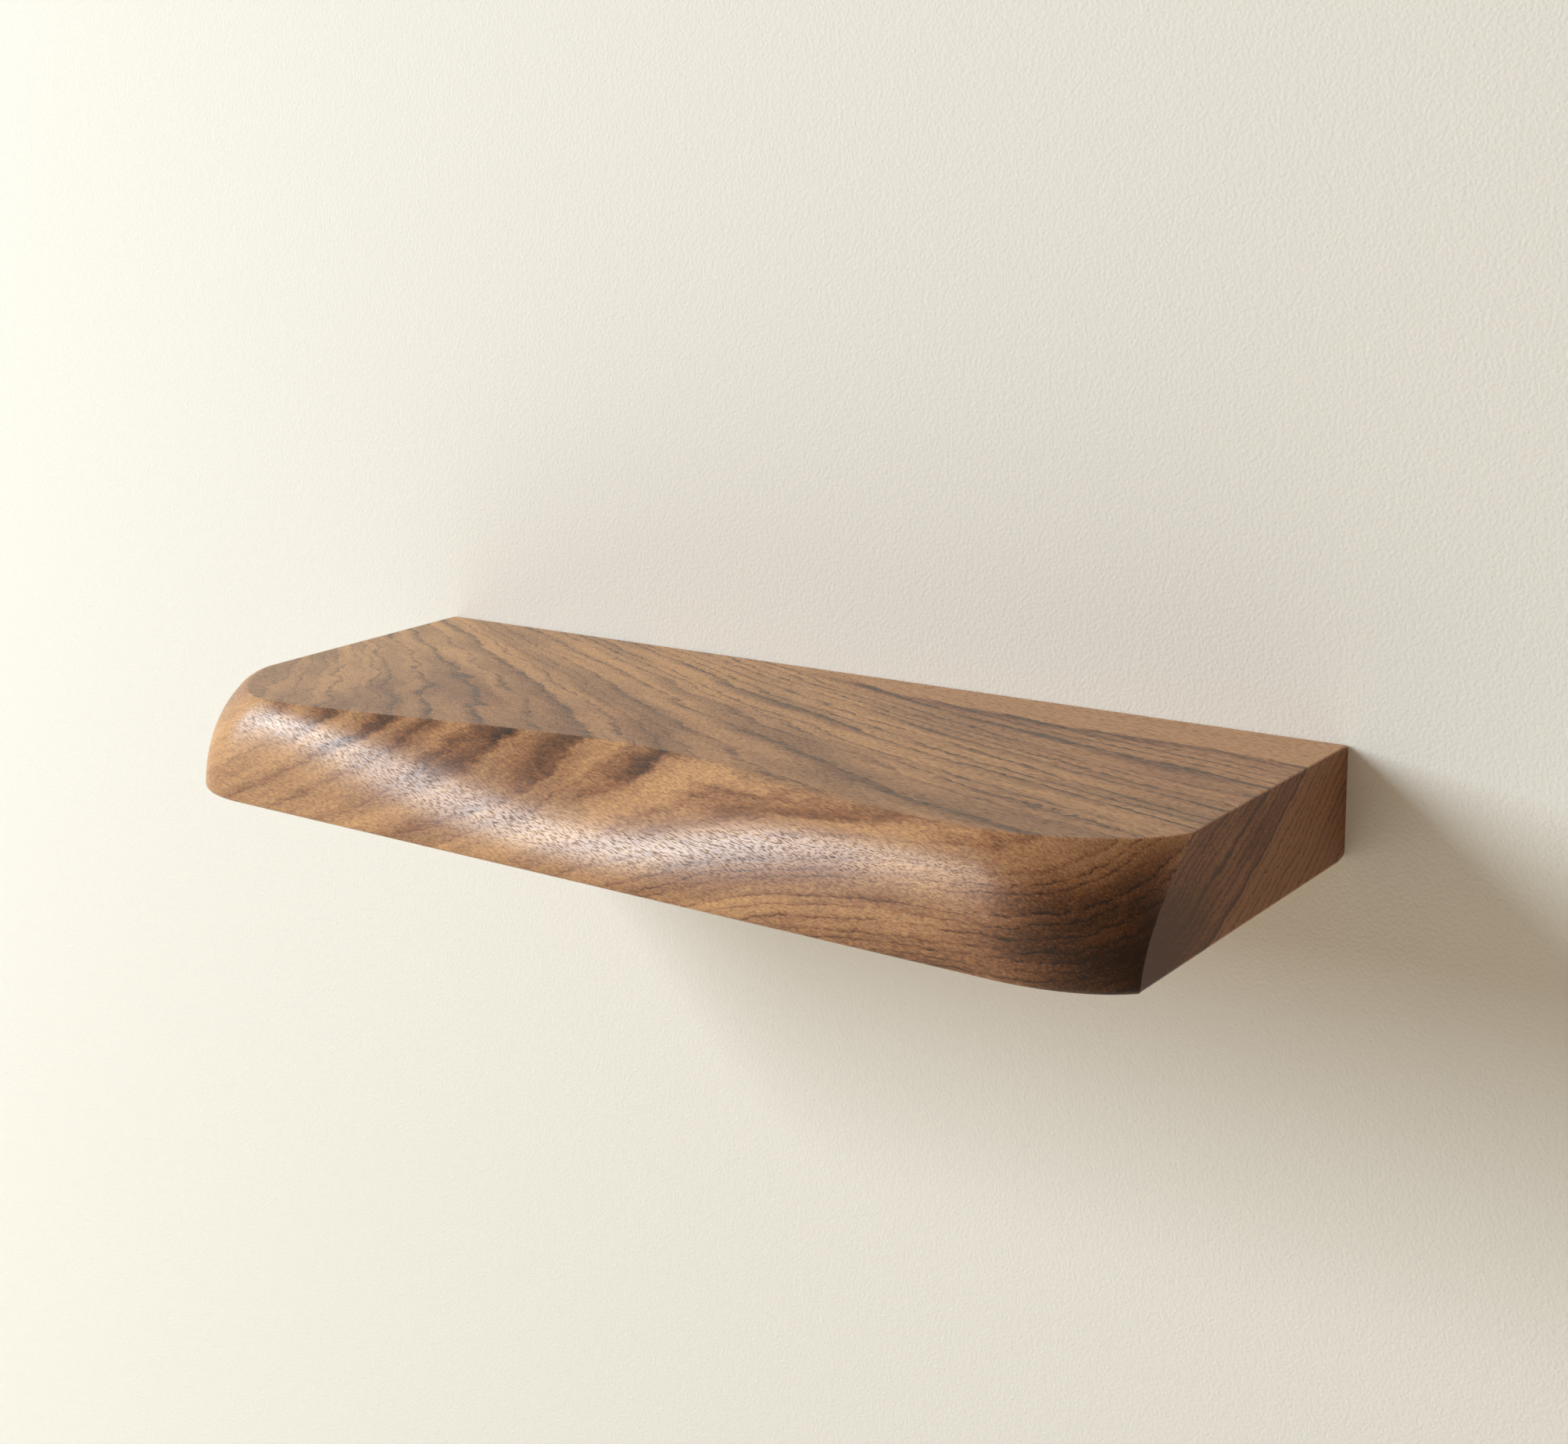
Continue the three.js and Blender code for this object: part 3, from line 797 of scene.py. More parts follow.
def crest_inward(span, share):
    """The level direction that leads in from the crest, square to it."""
    start, after, before, end = crest_spans[span]
    rest = 1 - share
    along = rest**2 * (after - start) + 2 * rest * share * (before - after) + share**2 * (end - before)
    return Vector((-along.y, along.x, 0)).normalized()


def toe_at(span, share):
    """The toe's place in plan and the direction in which it faces."""
    if span == left_span:
        side, shoulder, end, to_end = -1, left_shoulder, left_end, 1 - share
    elif span == right_span:
        side, shoulder, end, to_end = 1, right_shoulder, right_end, share
    else:
        stops = (
            left_x + left_shoulder["toe_run"],
            waist["x"],
            right_x - right_shoulder["toe_run"],
        )
        x = stops[span - 1] + share * (stops[span] - stops[span - 1])
        return Vector((x, front_y, under_z)), Vector((0, -1, 0))
    whole_turn = radians(end["toe_turn"])
    run = shoulder["toe_run"] / sin(whole_turn)
    setback = end["toe_setback"] / (1 - cos(whole_turn))
    turn = to_end * whole_turn
    start_x = side * (right_x - shoulder["toe_run"])
    place = Vector((start_x + side * run * sin(turn), front_y + setback * (1 - cos(turn)), under_z))
    facing = Vector((side * setback * sin(turn), -run * cos(turn), 0)).normalized()
    return place, facing


def column(crest, upper, lower, toe, inward, facing, top_round, lower_round):
    """The points of the skin from the flat top, down one cubic profile, to the flat underside."""
    start = top_round / (3 * (upper - crest).length)
    first = crest + inward * top_round
    joined = cubic(crest, upper, lower, toe, start)
    points = [crest + inward * (top_round + flat_margin)]
    for step in range(edge_steps):
        points.append(quadratic(first, crest, joined, step / edge_steps))
    for step in range(face_steps):
        points.append(cubic(crest, upper, lower, toe, start + (1 - start) * step / face_steps))
    for step in range(edge_steps + 1):
        turn = step / edge_steps * pi / 2
        drop = Vector((0, 0, -lower_round * sin(turn)))
        points.append(toe - facing * lower_round * (1 - cos(turn)) + drop)
    points.append(points[-1] - facing * flat_margin)
    return points


def front_column(span, share):
    """A column of the sculpted front, its profile eased between the sections on either side."""
    crest = cubic(*crest_spans[span], share)
    foot, facing = toe_at(span, share)
    toe = foot + Vector((0, 0, toe_edge))
    outward = Vector((foot.x - crest.x, foot.y - crest.y, 0)).normalized()
    ease = share * share * (3 - 2 * share)
    size = {
        name: (1 - ease) * sections[span][name] + ease * sections[span + 1][name]
        for name in ("crown", "fall_share", "rise", "lean")
    }
    top_round = crisp_edge
    if span == left_span:
        top_round += (soft_edge - crisp_edge) * (1 - ease)
    if span == fading_span:
        fading = sin(pi * share) ** 2
        size["fall_share"] -= crease_fade_share * fading
        top_round += (soft_edge - crisp_edge) * fading
    upper = crest + size["crown"] * (outward - Vector((0, 0, size["fall_share"])))
    lower = toe + Vector((0, 0, size["rise"])) - size["lean"] * outward
    inward = crest_inward(span, share)
    return column(crest, upper, lower, toe, inward, facing, top_round, toe_edge)


def straight_column(x, y, facing, top_round, lower_round):
    """A column of a flat side of the board."""
    crest = Vector((x, y, top_z))
    toe = Vector((x, y, under_z + lower_round))
    third = (toe - crest) / 3
    return column(crest, crest + third, toe - third, toe, -facing, facing, top_round, lower_round)


def blended(one, other, share):
    """The column at a share of the way between two others."""
    return [a.lerp(b, share) for a, b in zip(one, other)]


def rounded(one, corner, other, steps=4):
    """The columns that round a corner column off between two others."""
    return [
        [quadratic(a, b, c, step / steps) for a, b, c in zip(one, corner, other)]
        for step in range(1, steps)
    ]


def end_face(front, side, top_round):
    """An end face: its corner with the front rounded off, then flat back to the wall."""
    x = right_x if side > 0 else left_x
    facing = Vector((side, 0, 0))
    insets = [abs(point.x - x) for point in straight_column(x, 0, facing, top_round, toe_edge)]
    corner = [Vector((x - side * inset, p.y, p.z)) for inset, p in zip(insets, front)]
    near = [point + Vector((0, end_edge, 0)) for point in corner]
    far_y = -back_lower_edge - corner_edge - flat_margin
    far = straight_column(x, far_y, facing, end_edge, toe_edge)
    flat = [blended(near, far, share) for share in end_face_shares]
    return rounded(front, corner, near), [near, *flat, far]


def back_corner(side):
    """The upright back corner of the board, rounded off, and the back face beside it."""
    x = right_x if side > 0 else left_x
    end = straight_column(x, 0, Vector((side, 0, 0)), end_edge, toe_edge)
    back = straight_column(x, 0, Vector((0, 1, 0)), back_top_edge, back_lower_edge)
    corner = [Vector((a.x, b.y, b.z)) for a, b in zip(end, back)]
    on_end = [point - Vector((0, corner_edge, 0)) for point in corner]
    on_back = [point - Vector((side * corner_edge, 0, 0)) for point in corner]
    beside = [point - Vector((side * (corner_edge + flat_margin), 0, 0)) for point in corner]
    return [on_end, *rounded(on_end, corner, on_back), on_back, beside]


front_columns = []
for span, steps in enumerate(span_steps):
    front_columns += [front_column(span, step / steps) for step in range(steps)]
front_columns.append(front_column(right_span, 1))
right_round, right_face = end_face(front_columns[-1], 1, end_edge)
left_round, left_face = end_face(front_columns[0], -1, soft_edge)
ring = [
    *front_columns,
    *right_round,
    *right_face,
    *back_corner(1),
    *reversed(back_corner(-1)),
    *reversed(left_face),
    *reversed(left_round),
]
around, levels = len(ring), len(ring[0])
skin_points = [column_points[level] for level in range(levels) for column_points in ring]
skin_faces = [
    (
        (level + 1) * around + place,
        (level + 1) * around + (place + 1) % around,
        level * around + (place + 1) % around,
        level * around + place,
    )
    for level in range(levels - 1)
    for place in range(around)
]
skin_faces.append(tuple(range(around)))
skin_faces.append(tuple(reversed(range((levels - 1) * around, levels * around))))
board = new_object("walnut_board", skin_points, faces=skin_faces)


# Black walnut, sawn from well outside the pith of a tree that leaned and bent: the growth rings
# cross the top as fine lines and sweep over the front as dark flames, and a wedge of pale
# sapwood is left at the back. Oil makes it glow and dulls to satin; each pore is a short dash.

# The pith is given at the middle of the board's length, by its place, slope and bend. The rings
# lie around it and go by their radius, and the tree grew slower in its last years.
pith = {"Y": (-298 * mm, -0.163, -0.107), "Z": (446 * mm, 0.130, -0.263)}
first_ring, last_ring = 350 * mm, 560 * mm
ring_width, slow_ring_width, slow_from = 5.6 * mm, 4.6 * mm, 474 * mm
weather_spell, weather_reach = 26 * mm, 3.4
branch_place, curl_size = (-215 * mm, -140 * mm, 30 * mm), 30 * mm
sapwood_edge, sapwood_half_edge, sapwood_slant = 533 * mm, 8 * mm, 0.09
stain_place, stain_reach = (300 * mm, -205 * mm, -8 * mm), (82 * mm, 70 * mm, 48 * mm)
stain_raggedness = 0.5
mean_level = 0.5
band_size, band_detail = (160 * mm, 8 * mm, 60 * mm), 3.0
grain_fall, grain_bend = 0.147, -0.365

# Figures are drawn out along the fibres: a mean length, a mean width and how finely they break up.
# The pores are drawn a little wider than they are, so that they show.
figures = {
    "lean": (300 * mm, 90 * mm, 2.0),
    "wander": (200 * mm, 20 * mm, 2.0),
    "wave": (70 * mm, 26 * mm, 3.0),
    "ripple": (15 * mm, 5 * mm, 3.0),
    "fray": (5 * mm, 2 * mm, 1.0),
    "clouds": (220 * mm, 35 * mm, 3.0),
    "fibres": (16 * mm, 1.3 * mm, 3.0),
    "flecks": (3.5 * mm, 0.8 * mm, 1.0),
    "flicker": (90 * mm, 14 * mm, 3.0),
    "breaks": (50 * mm, 3 * mm, 2.0),
    "pores": (4.5 * mm, 0.36 * mm, 0.0),
}
ring_shifts = {
    "lean": 12 * mm,
    "wander": 7 * mm,
    "wave": 3 * mm,
    "ripple": 2.6 * mm,
    "fray": 1.6 * mm,
}

# The tone runs from 0, the palest wood, to 1, the darkest. These go by the radius of a ring in
# millimetres: the tone of the heartwood, how dark its lines are, and where its flames end.
heart_tones = {365: 0.08, 386: 0.17, 425: 0.24, 466: 0.26, 485: 0.29, 505: 0.4, 525: 0.46}
line_tones = {370: 0.32, 445: 0.36, 485: 0.75, 530: 0.75, 548: 0.45}
flame_ends = {372: 0.7, 382: 1.0, 391: 0.7, 401: 1.0, 409: 0.6, 419: 1.0, 429: 0.7, 440: 0.9, 451: 0.4}
flame_width, flame_edge = 5.8, 2
# These go by the share of a year's growth, and by the share of the way over the sapwood's edge.
season_tones = {0.0: 0.3, 0.06: 0.0, 0.6: 0.05, 0.84: 0.35, 0.92: 1.0, 1.0: 0.7}
sapwood_line = {0.25: 0.0, 0.42: 0.45, 0.5: 0.0}
sapwood_start = {0.42: 0.0, 0.52: 1.0}
walnut_colours = {0.0: "d29e68", 0.25: "b48357", 0.5: "915e38", 0.75: "613817", 1.0: "301706"}
tone_shares = {"bands": 0.3, "clouds": 0.35, "fibres": 0.3, "flecks": 0.62}
lighter_by = 0.31
end_line_share, end_darker_by = 1.4, 0.17
olive_colour, olive_band_share = "574732", 0.3
# A painted sheen on the top: its tone moves this share of the way to a paler tone.
top_sheen_tone, top_sheen_share = 0.2, 0.35
end_colour, end_colour_share = "6f3511", 0.35
pore_colour, pore_colour_share = "2e1d12", 0.4
raw_colour = "a98c6e"
oiled_ior = 1.58
dullest = 0.64
pore_relief = {"Strength": 0.2, "Distance": 0.1 * mm}

# Each spread turns one range of what it follows into another, or into 0 to 1 if it names none.
spreads = {
    "curled": {"From Min": 20 * mm, "From Max": 110 * mm, "To Min": 8 * mm, "To Max": 0.0},
    "flatter": {"From Min": -60 * mm, "From Max": 200 * mm, "To Min": 0.45, "To Max": 0.0},
    "on ramp": {"From Min": first_ring, "From Max": last_ring},
    "on top": {"From Min": 0.955, "From Max": 0.995},
    "on end": {"From Min": 0.95, "From Max": 0.99},
    "bands": {"From Min": 0.38, "From Max": 0.64},
    "flame rise": {"From Min": -4 * mm, "From Max": 24 * mm, "To Min": 0.07, "To Max": 0.86},
    "flame run": {"From Min": -265 * mm, "From Max": -165 * mm, "To Min": 0.15, "To Max": 1.0},
    "flame flicker": {"From Min": 0.38, "From Max": 0.62, "To Min": 0.65, "To Max": 1.0},
    "flame fade": {"To Min": 1.0, "To Max": 0.35},
    "stain": {"From Min": 0.45, "From Max": 1.3, "To Min": 1.0, "To Max": 0.0},
    "stain share": {"To Min": 0.6, "To Max": 0.42},
    "younger": {"From Min": -160 * mm, "From Max": -20 * mm, "To Min": -0.4},
    "leftwards": {"From Min": 160 * mm, "From Max": -60 * mm},
    "past edge": {
        "From Min": sapwood_edge - sapwood_half_edge,
        "From Max": sapwood_edge + sapwood_half_edge,
    },
    "sap share": {"To Min": 0.9, "To Max": 0.75},
    "sapless": {"From Min": 0.75, "From Max": 0.9, "To Min": 1.0, "To Max": 0.25},
    "sap tone": {"From Min": 0.2, "From Max": 0.8, "To Min": 0.04, "To Max": 0.26},
    "harshness": {"To Min": 0.35, "To Max": 1.0},
    "line breaks": {"From Min": 0.35, "From Max": 0.6, "To Min": 0.25},
    "top lines": {"To Min": 0.75, "To Max": 1.4},
    "pores": {"From Min": 0.52, "From Max": 0.68},
}
smooth = {"interpolation_type": "SMOOTHSTEP"}
mix_colours = {"data_type": "RGBA"}
mix_tones = {"data_type": "FLOAT"}
one_way = {"noise_dimensions": "1D"}


def grey_stops(levels):
    """The stops of a ramp of greys, from its levels by their place on it."""
    return [(place, (level, level, level, 1)) for place, level in levels.items()]


def ring_stops(levels):
    """The same for a ramp over the rings, from its levels by their radius in millimetres."""
    whole = last_ring - first_ring
    return grey_stops({(radius * mm - first_ring) / whole: level for radius, level in levels.items()})


def walnut(name, roughness, raw_share):
    """The wood of the board; the raw share tells how far a surface is from sanded and oiled."""
    material, wood = new_material(name)
    place = add_node(wood, "ShaderNodeTexCoord").outputs["Object"]
    x, y, z = add_node(wood, "ShaderNodeSeparateXYZ", inputs={"Vector": place}).outputs
    from_pith = {}
    for axis, here in (("Y", y), ("Z", z)):
        start, slope, bend = pith[axis]
        bent = add_node(wood, "ShaderNodeMath", multiply_add, {0: x, 1: bend, 2: slope})
        centre = add_node(wood, "ShaderNodeMath", multiply_add, {0: bent, 1: x, 2: start})
        from_pith[axis] = add_node(wood, "ShaderNodeMath", subtract, {0: here, 1: centre})
    across = add_node(wood, "ShaderNodeCombineXYZ", inputs=from_pith)
    fibre = add_node(wood, "ShaderNodeCombineXYZ", inputs={"X": x, **from_pith})
    radius = add_node(wood, "ShaderNodeVectorMath", {"operation": "LENGTH"}, {0: across})

    # The vessels follow the fibres, but fall and bend a little on their own.
    falling = add_node(wood, "ShaderNodeMath", multiply_add, {0: x, 1: grain_bend, 2: grain_fall})
    grain_z = add_node(wood, "ShaderNodeMath", multiply_add, {0: falling, 1: x, 2: z})
    grain = add_node(wood, "ShaderNodeCombineXYZ", inputs={"X": x, "Y": from_pith["Y"], "Z": grain_z})
    figure = {}
    for title, (length, width, detail) in figures.items():
        along = grain if title == "pores" else fibre
        stretched = add_node(
            wood, "ShaderNodeVectorMath", multiply, {0: along, 1: (1 / length, 1 / width, 1 / width)}
        )
        figure[title] = add_node(
            wood, "ShaderNodeTexNoise", inputs={"Vector": stretched, "Scale": 1.0, "Detail": detail}
        )

    # The age of the wood is its ring's radius, shifted so that the rings wander, ripple and fray.
    shift = sum(ring_shifts.values()) / 2
    age = add_node(wood, "ShaderNodeMath", subtract, {0: radius.outputs["Value"], 1: shift})
    for title, reach in ring_shifts.items():
        age = add_node(wood, "ShaderNodeMath", multiply_add, {0: figure[title], 1: reach, 2: age})
    # Beside a branch, at the left front, the rings curl.
    from_branch = add_node(
        wood, "ShaderNodeVectorMath", {"operation": "DISTANCE"}, {0: place, 1: branch_place}
    )
    curled = add_node(
        wood,
        "ShaderNodeMapRange",
        smooth,
        {"Value": from_branch.outputs["Value"], **spreads["curled"]},
    )
    curls = add_node(wood, "ShaderNodeTexNoise", inputs={"Vector": place, "Scale": 1 / curl_size})
    centred = add_node(wood, "ShaderNodeMath", subtract, {0: curls, 1: mean_level})
    age = add_node(wood, "ShaderNodeMath", multiply_add, {0: centred, 1: curled, 2: age})
    # Left of the middle the rings lie farther apart below the top, so they cross the front steeply.
    flatter = add_node(wood, "ShaderNodeMapRange", smooth, {"Value": x, **spreads["flatter"]})
    below_top = add_node(wood, "ShaderNodeMath", subtract, {0: z, 1: top_z})
    age = add_node(wood, "ShaderNodeMath", multiply_add, {0: below_top, 1: flatter, 2: age})
    on_ramp = add_node(wood, "ShaderNodeMapRange", inputs={"Value": age, **spreads["on ramp"]})

    # On the flat top the tone is drawn paler and evener, a painted sheen for the grey veil of reflected
    # light on it. The sawn ends drink the oil and turn dull.
    facing = add_node(wood, "ShaderNodeNewGeometry").outputs["Normal"]
    facing_x, _, facing_z = add_node(wood, "ShaderNodeSeparateXYZ", inputs={"Vector": facing}).outputs
    on_top = add_node(wood, "ShaderNodeMapRange", smooth, {"Value": facing_z, **spreads["on top"]})
    facing_end = add_node(wood, "ShaderNodeMath", {"operation": "ABSOLUTE"}, {0: facing_x})
    on_end = add_node(wood, "ShaderNodeMapRange", smooth, {"Value": facing_end, **spreads["on end"]})

    # Heartwood grows darker outwards, and soft bands follow its rings for about a hand's length.
    heart = add_node(
        wood, "ShaderNodeValToRGB", inputs={"Fac": on_ramp}, stops=ring_stops(heart_tones)
    )
    band_place = add_node(wood, "ShaderNodeCombineXYZ", inputs={"X": x, "Y": age, "Z": from_pith["Y"]})
    band_stretch = add_node(
        wood, "ShaderNodeVectorMath", multiply, {0: band_place, 1: [1 / size for size in band_size]}
    )
    band_waves = add_node(
        wood,
        "ShaderNodeTexNoise",
        inputs={"Vector": band_stretch, "Scale": 1.0, "Detail": band_detail},
    )
    bands = add_node(wood, "ShaderNodeMapRange", inputs={"Value": band_waves, **spreads["bands"]})
    # Flames are the broad dark seasons at the left. They are strongest just under the crease.
    flame_levels = {}
    for end, level in flame_ends.items():
        flame_levels.update({end - flame_width: 0, end: level, end + flame_edge: 0})
    flames = add_node(
        wood, "ShaderNodeValToRGB", inputs={"Fac": on_ramp}, stops=ring_stops(flame_levels)
    )
    rise = add_node(wood, "ShaderNodeMapRange", smooth, {"Value": z, **spreads["flame rise"]})
    run = add_node(wood, "ShaderNodeMapRange", smooth, {"Value": x, **spreads["flame run"]})
    flicker = add_node(
        wood, "ShaderNodeMapRange", inputs={"Value": figure["flicker"], **spreads["flame flicker"]}
    )
    fade = add_node(wood, "ShaderNodeMapRange", inputs={"Value": on_top, **spreads["flame fade"]})
    flame_share = rise
    for share in (run, flicker, fade):
        flame_share = add_node(wood, "ShaderNodeMath", multiply, {0: flame_share, 1: share})
    # A dark stain runs in from the right front corner.
    from_stain = add_node(wood, "ShaderNodeVectorMath", subtract, {0: place, 1: stain_place})
    stain_shares = add_node(
        wood, "ShaderNodeVectorMath", multiply, {0: from_stain, 1: [1 / size for size in stain_reach]}
    )
    stain_distance = add_node(wood, "ShaderNodeVectorMath", {"operation": "LENGTH"}, {0: stain_shares})
    ragged = add_node(
        wood,
        "ShaderNodeMath",
        multiply_add,
        {0: bands, 1: stain_raggedness, 2: stain_distance.outputs["Value"]},
    )
    stain = add_node(wood, "ShaderNodeMapRange", smooth, {"Value": ragged, **spreads["stain"]})
    stain_share = add_node(
        wood, "ShaderNodeMapRange", inputs={"Value": on_end, **spreads["stain share"]}
    )
    # Near the wall the top was sawn from younger, lighter wood.
    younger = add_node(wood, "ShaderNodeMapRange", inputs={"Value": y, **spreads["younger"]})
    leftwards = add_node(wood, "ShaderNodeMapRange", inputs={"Value": x, **spreads["leftwards"]})
    lighter = younger
    for share in (leftwards, on_top):
        lighter = add_node(wood, "ShaderNodeMath", multiply, {0: lighter, 1: share})
    tone = heart
    for part, share, middle in (
        (bands, tone_shares["bands"], mean_level),
        (figure["clouds"], tone_shares["clouds"], mean_level),
        (figure["fibres"], tone_shares["fibres"], mean_level),
        (figure["flecks"], tone_shares["flecks"], mean_level),
        (flames, flame_share, 0),
        (stain, stain_share, 0),
        (lighter, -lighter_by, 0),
    ):
        moved = add_node(wood, "ShaderNodeMath", subtract, {0: part, 1: middle})
        tone = add_node(wood, "ShaderNodeMath", multiply_add, {0: moved, 1: share, 2: tone})

    # Sapwood: past its edge, which runs aslant to the rings, the wood is plain and paler.
    to_right = add_node(wood, "ShaderNodeMath", subtract, {0: right_x, 1: x})
    slanted = add_node(wood, "ShaderNodeMath", multiply_add, {0: to_right, 1: sapwood_slant, 2: age})
    past_edge = add_node(wood, "ShaderNodeMapRange", inputs={"Value": slanted, **spreads["past edge"]})
    edge_line = add_node(
        wood, "ShaderNodeValToRGB", inputs={"Fac": past_edge}, stops=grey_stops(sapwood_line)
    )
    sapwood = add_node(
        wood, "ShaderNodeValToRGB", inputs={"Fac": past_edge}, stops=grey_stops(sapwood_start)
    )
    sap_fade = add_node(wood, "ShaderNodeMapRange", inputs={"Value": on_end, **spreads["sap share"]})
    sap_share = add_node(wood, "ShaderNodeMath", multiply, {0: sapwood, 1: sap_fade})
    sapless = add_node(wood, "ShaderNodeMapRange", inputs={"Value": sap_share, **spreads["sapless"]})

    # Every year ends in a thin dark line, harsher in some years, and fine weather spreads them out.
    slow_years = add_node(wood, "ShaderNodeMath", subtract, {0: age, 1: slow_from})
    slow_part = add_node(wood, "ShaderNodeMath", {"operation": "MAXIMUM"}, {0: slow_years, 1: 0.0})
    even_years = add_node(wood, "ShaderNodeMath", divide, {0: age, 1: ring_width})
    more_years = 1 / slow_ring_width - 1 / ring_width
    years = add_node(
        wood, "ShaderNodeMath", multiply_add, {0: slow_part, 1: more_years, 2: even_years}
    )
    spells = add_node(wood, "ShaderNodeMath", divide, {0: age, 1: weather_spell})
    weather = add_node(wood, "ShaderNodeTexNoise", one_way, {"W": spells, "Scale": 1.0})
    years = add_node(wood, "ShaderNodeMath", multiply_add, {0: weather, 1: weather_reach, 2: years})
    season = add_node(wood, "ShaderNodeMath", {"operation": "FRACT"}, {0: years})
    year = add_node(wood, "ShaderNodeMath", {"operation": "FLOOR"}, {0: years})
    chance = add_node(wood, "ShaderNodeTexWhiteNoise", one_way, {"W": year}).outputs["Value"]
    late_wood = add_node(
        wood, "ShaderNodeValToRGB", inputs={"Fac": season}, stops=grey_stops(season_tones)
    )
    harshness = add_node(wood, "ShaderNodeMapRange", inputs={"Value": chance, **spreads["harshness"]})
    line_zone = add_node(
        wood, "ShaderNodeValToRGB", inputs={"Fac": on_ramp}, stops=ring_stops(line_tones)
    )
    breaks = add_node(
        wood, "ShaderNodeMapRange", inputs={"Value": figure["breaks"], **spreads["line breaks"]}
    )
    top_lines = add_node(wood, "ShaderNodeMapRange", inputs={"Value": on_top, **spreads["top lines"]})
    side_lines = add_node(
        wood, "ShaderNodeMath", multiply_add, {0: on_end, 1: end_line_share, 2: top_lines}
    )
    lines = late_wood
    for share in (harshness, line_zone, breaks, side_lines, sapless):
        lines = add_node(wood, "ShaderNodeMath", multiply, {0: lines, 1: share})

    # The tone of the heartwood or the sapwood, painted paler on the top as a painted sheen, with its
    # lines and darker ends.
    edged = add_node(wood, "ShaderNodeMath", {"operation": "ADD"}, {0: tone, 1: edge_line})
    sap_tone = add_node(
        wood, "ShaderNodeMapRange", inputs={"Value": figure["fibres"], **spreads["sap tone"]}
    )
    fresh_tone = add_node(
        wood, "ShaderNodeMix", mix_tones, {"Factor": sap_share, "A": edged, "B": sap_tone}
    )
    # Painted sheen: on the top the tone moves towards a paler one.
    fading = add_node(wood, "ShaderNodeMath", multiply, {0: on_top, 1: top_sheen_share})
    tone = add_node(
        wood, "ShaderNodeMix", mix_tones, {"Factor": fading, "A": fresh_tone, "B": top_sheen_tone}
    )
    tone = add_node(wood, "ShaderNodeMath", {"operation": "ADD"}, {0: tone, 1: lines})
    tone = add_node(wood, "ShaderNodeMath", multiply_add, {0: on_end, 1: end_darker_by, 2: tone})
    fresh_colour = add_node(
        wood,
        "ShaderNodeValToRGB",
        inputs={"Fac": tone},
        stops=[(level, linear(hex_colour)) for level, hex_colour in walnut_colours.items()],
    )
    # On the top the dark parts have gone olive grey, and the ends are a redder brown.
    olive = add_node(wood, "ShaderNodeMath", multiply_add, {0: bands, 1: olive_band_share, 2: lines})
    heartwood = add_node(wood, "ShaderNodeMath", subtract, {0: 1.0, 1: sap_share})
    olive_share = olive
    for share in (on_top, heartwood):
        olive_share = add_node(wood, "ShaderNodeMath", multiply, {0: olive_share, 1: share})
    end_share = add_node(wood, "ShaderNodeMath", multiply, {0: on_end, 1: end_colour_share})
    pores = add_node(
        wood, "ShaderNodeMapRange", smooth, {"Value": figure["pores"], **spreads["pores"]}
    )
    pore_share = add_node(wood, "ShaderNodeMath", multiply, {0: pores, 1: pore_colour_share})
    colour = fresh_colour
    for share, hex_colour in (
        (olive_share, olive_colour),
        (end_share, end_colour),
        (pore_share, pore_colour),
        (raw_share, raw_colour),
    ):
        colour = add_node(
            wood, "ShaderNodeMix", mix_colours, {"Factor": share, "A": colour, "B": linear(hex_colour)}
        )

    # Pores dip below the skin, so they look dull where it shines.
    dull_share = add_node(wood, "ShaderNodeMath", {"operation": "MAXIMUM"}, {0: pores, 1: end_share})
    dullness = add_node(
        wood,
        "ShaderNodeMapRange",
        inputs={"Value": dull_share, "To Min": roughness, "To Max": dullest},
    )
    relief = add_node(wood, "ShaderNodeBump", {"invert": True}, {"Height": pores, **pore_relief})
    surface = add_node(
        wood,
        "ShaderNodeBsdfPrincipled",
        inputs={"Base Color": colour, "Roughness": dullness, "IOR": oiled_ior, "Normal": relief},
    )
    add_node(wood, "ShaderNodeOutputMaterial", inputs={"Surface": surface})
    return material


oiled_walnut = walnut("oiled_walnut", roughness=0.37, raw_share=0.0)
milled_walnut = walnut("milled_walnut", roughness=0.7, raw_share=0.35)
board.data.materials.append(oiled_walnut)

# The back is routed out for the plate, with pockets for the screw heads and bores for the rods,
# and stepped holes come up from the underside for the inserts and their lock screws.
recess_gap = 2 * mm
recess_flare = 0.5 * mm
recess_depth = 6.3 * mm
pocket_radius = 14 * mm
pocket_depth = 15.2 * mm
bore_radius = 8.4 * mm
bore_depth = 161.3 * mm
drill_point = 2 * mm
flange_hole = {"radius": 6.3 * mm, "depth": 2.1 * mm}
sleeve_hole = {"radius": 4.8 * mm, "depth": 13.6 * mm}
screw_hole_radius = 3.3 * mm
lock_setback = 60 * mm


def blind_hole(radius, depth, flare):
    """A flat-bottomed hole with the mark of the drill's point, from above the face to its depth."""
    return [
        (0, -overrun),
        (radius + flare + overrun, -overrun),
        (radius, flare),
        (radius, depth - machined_edge),
        (radius - machined_edge, depth),
        (drill_point / 2, depth),
        (0, depth + drill_point / 2),
    ]


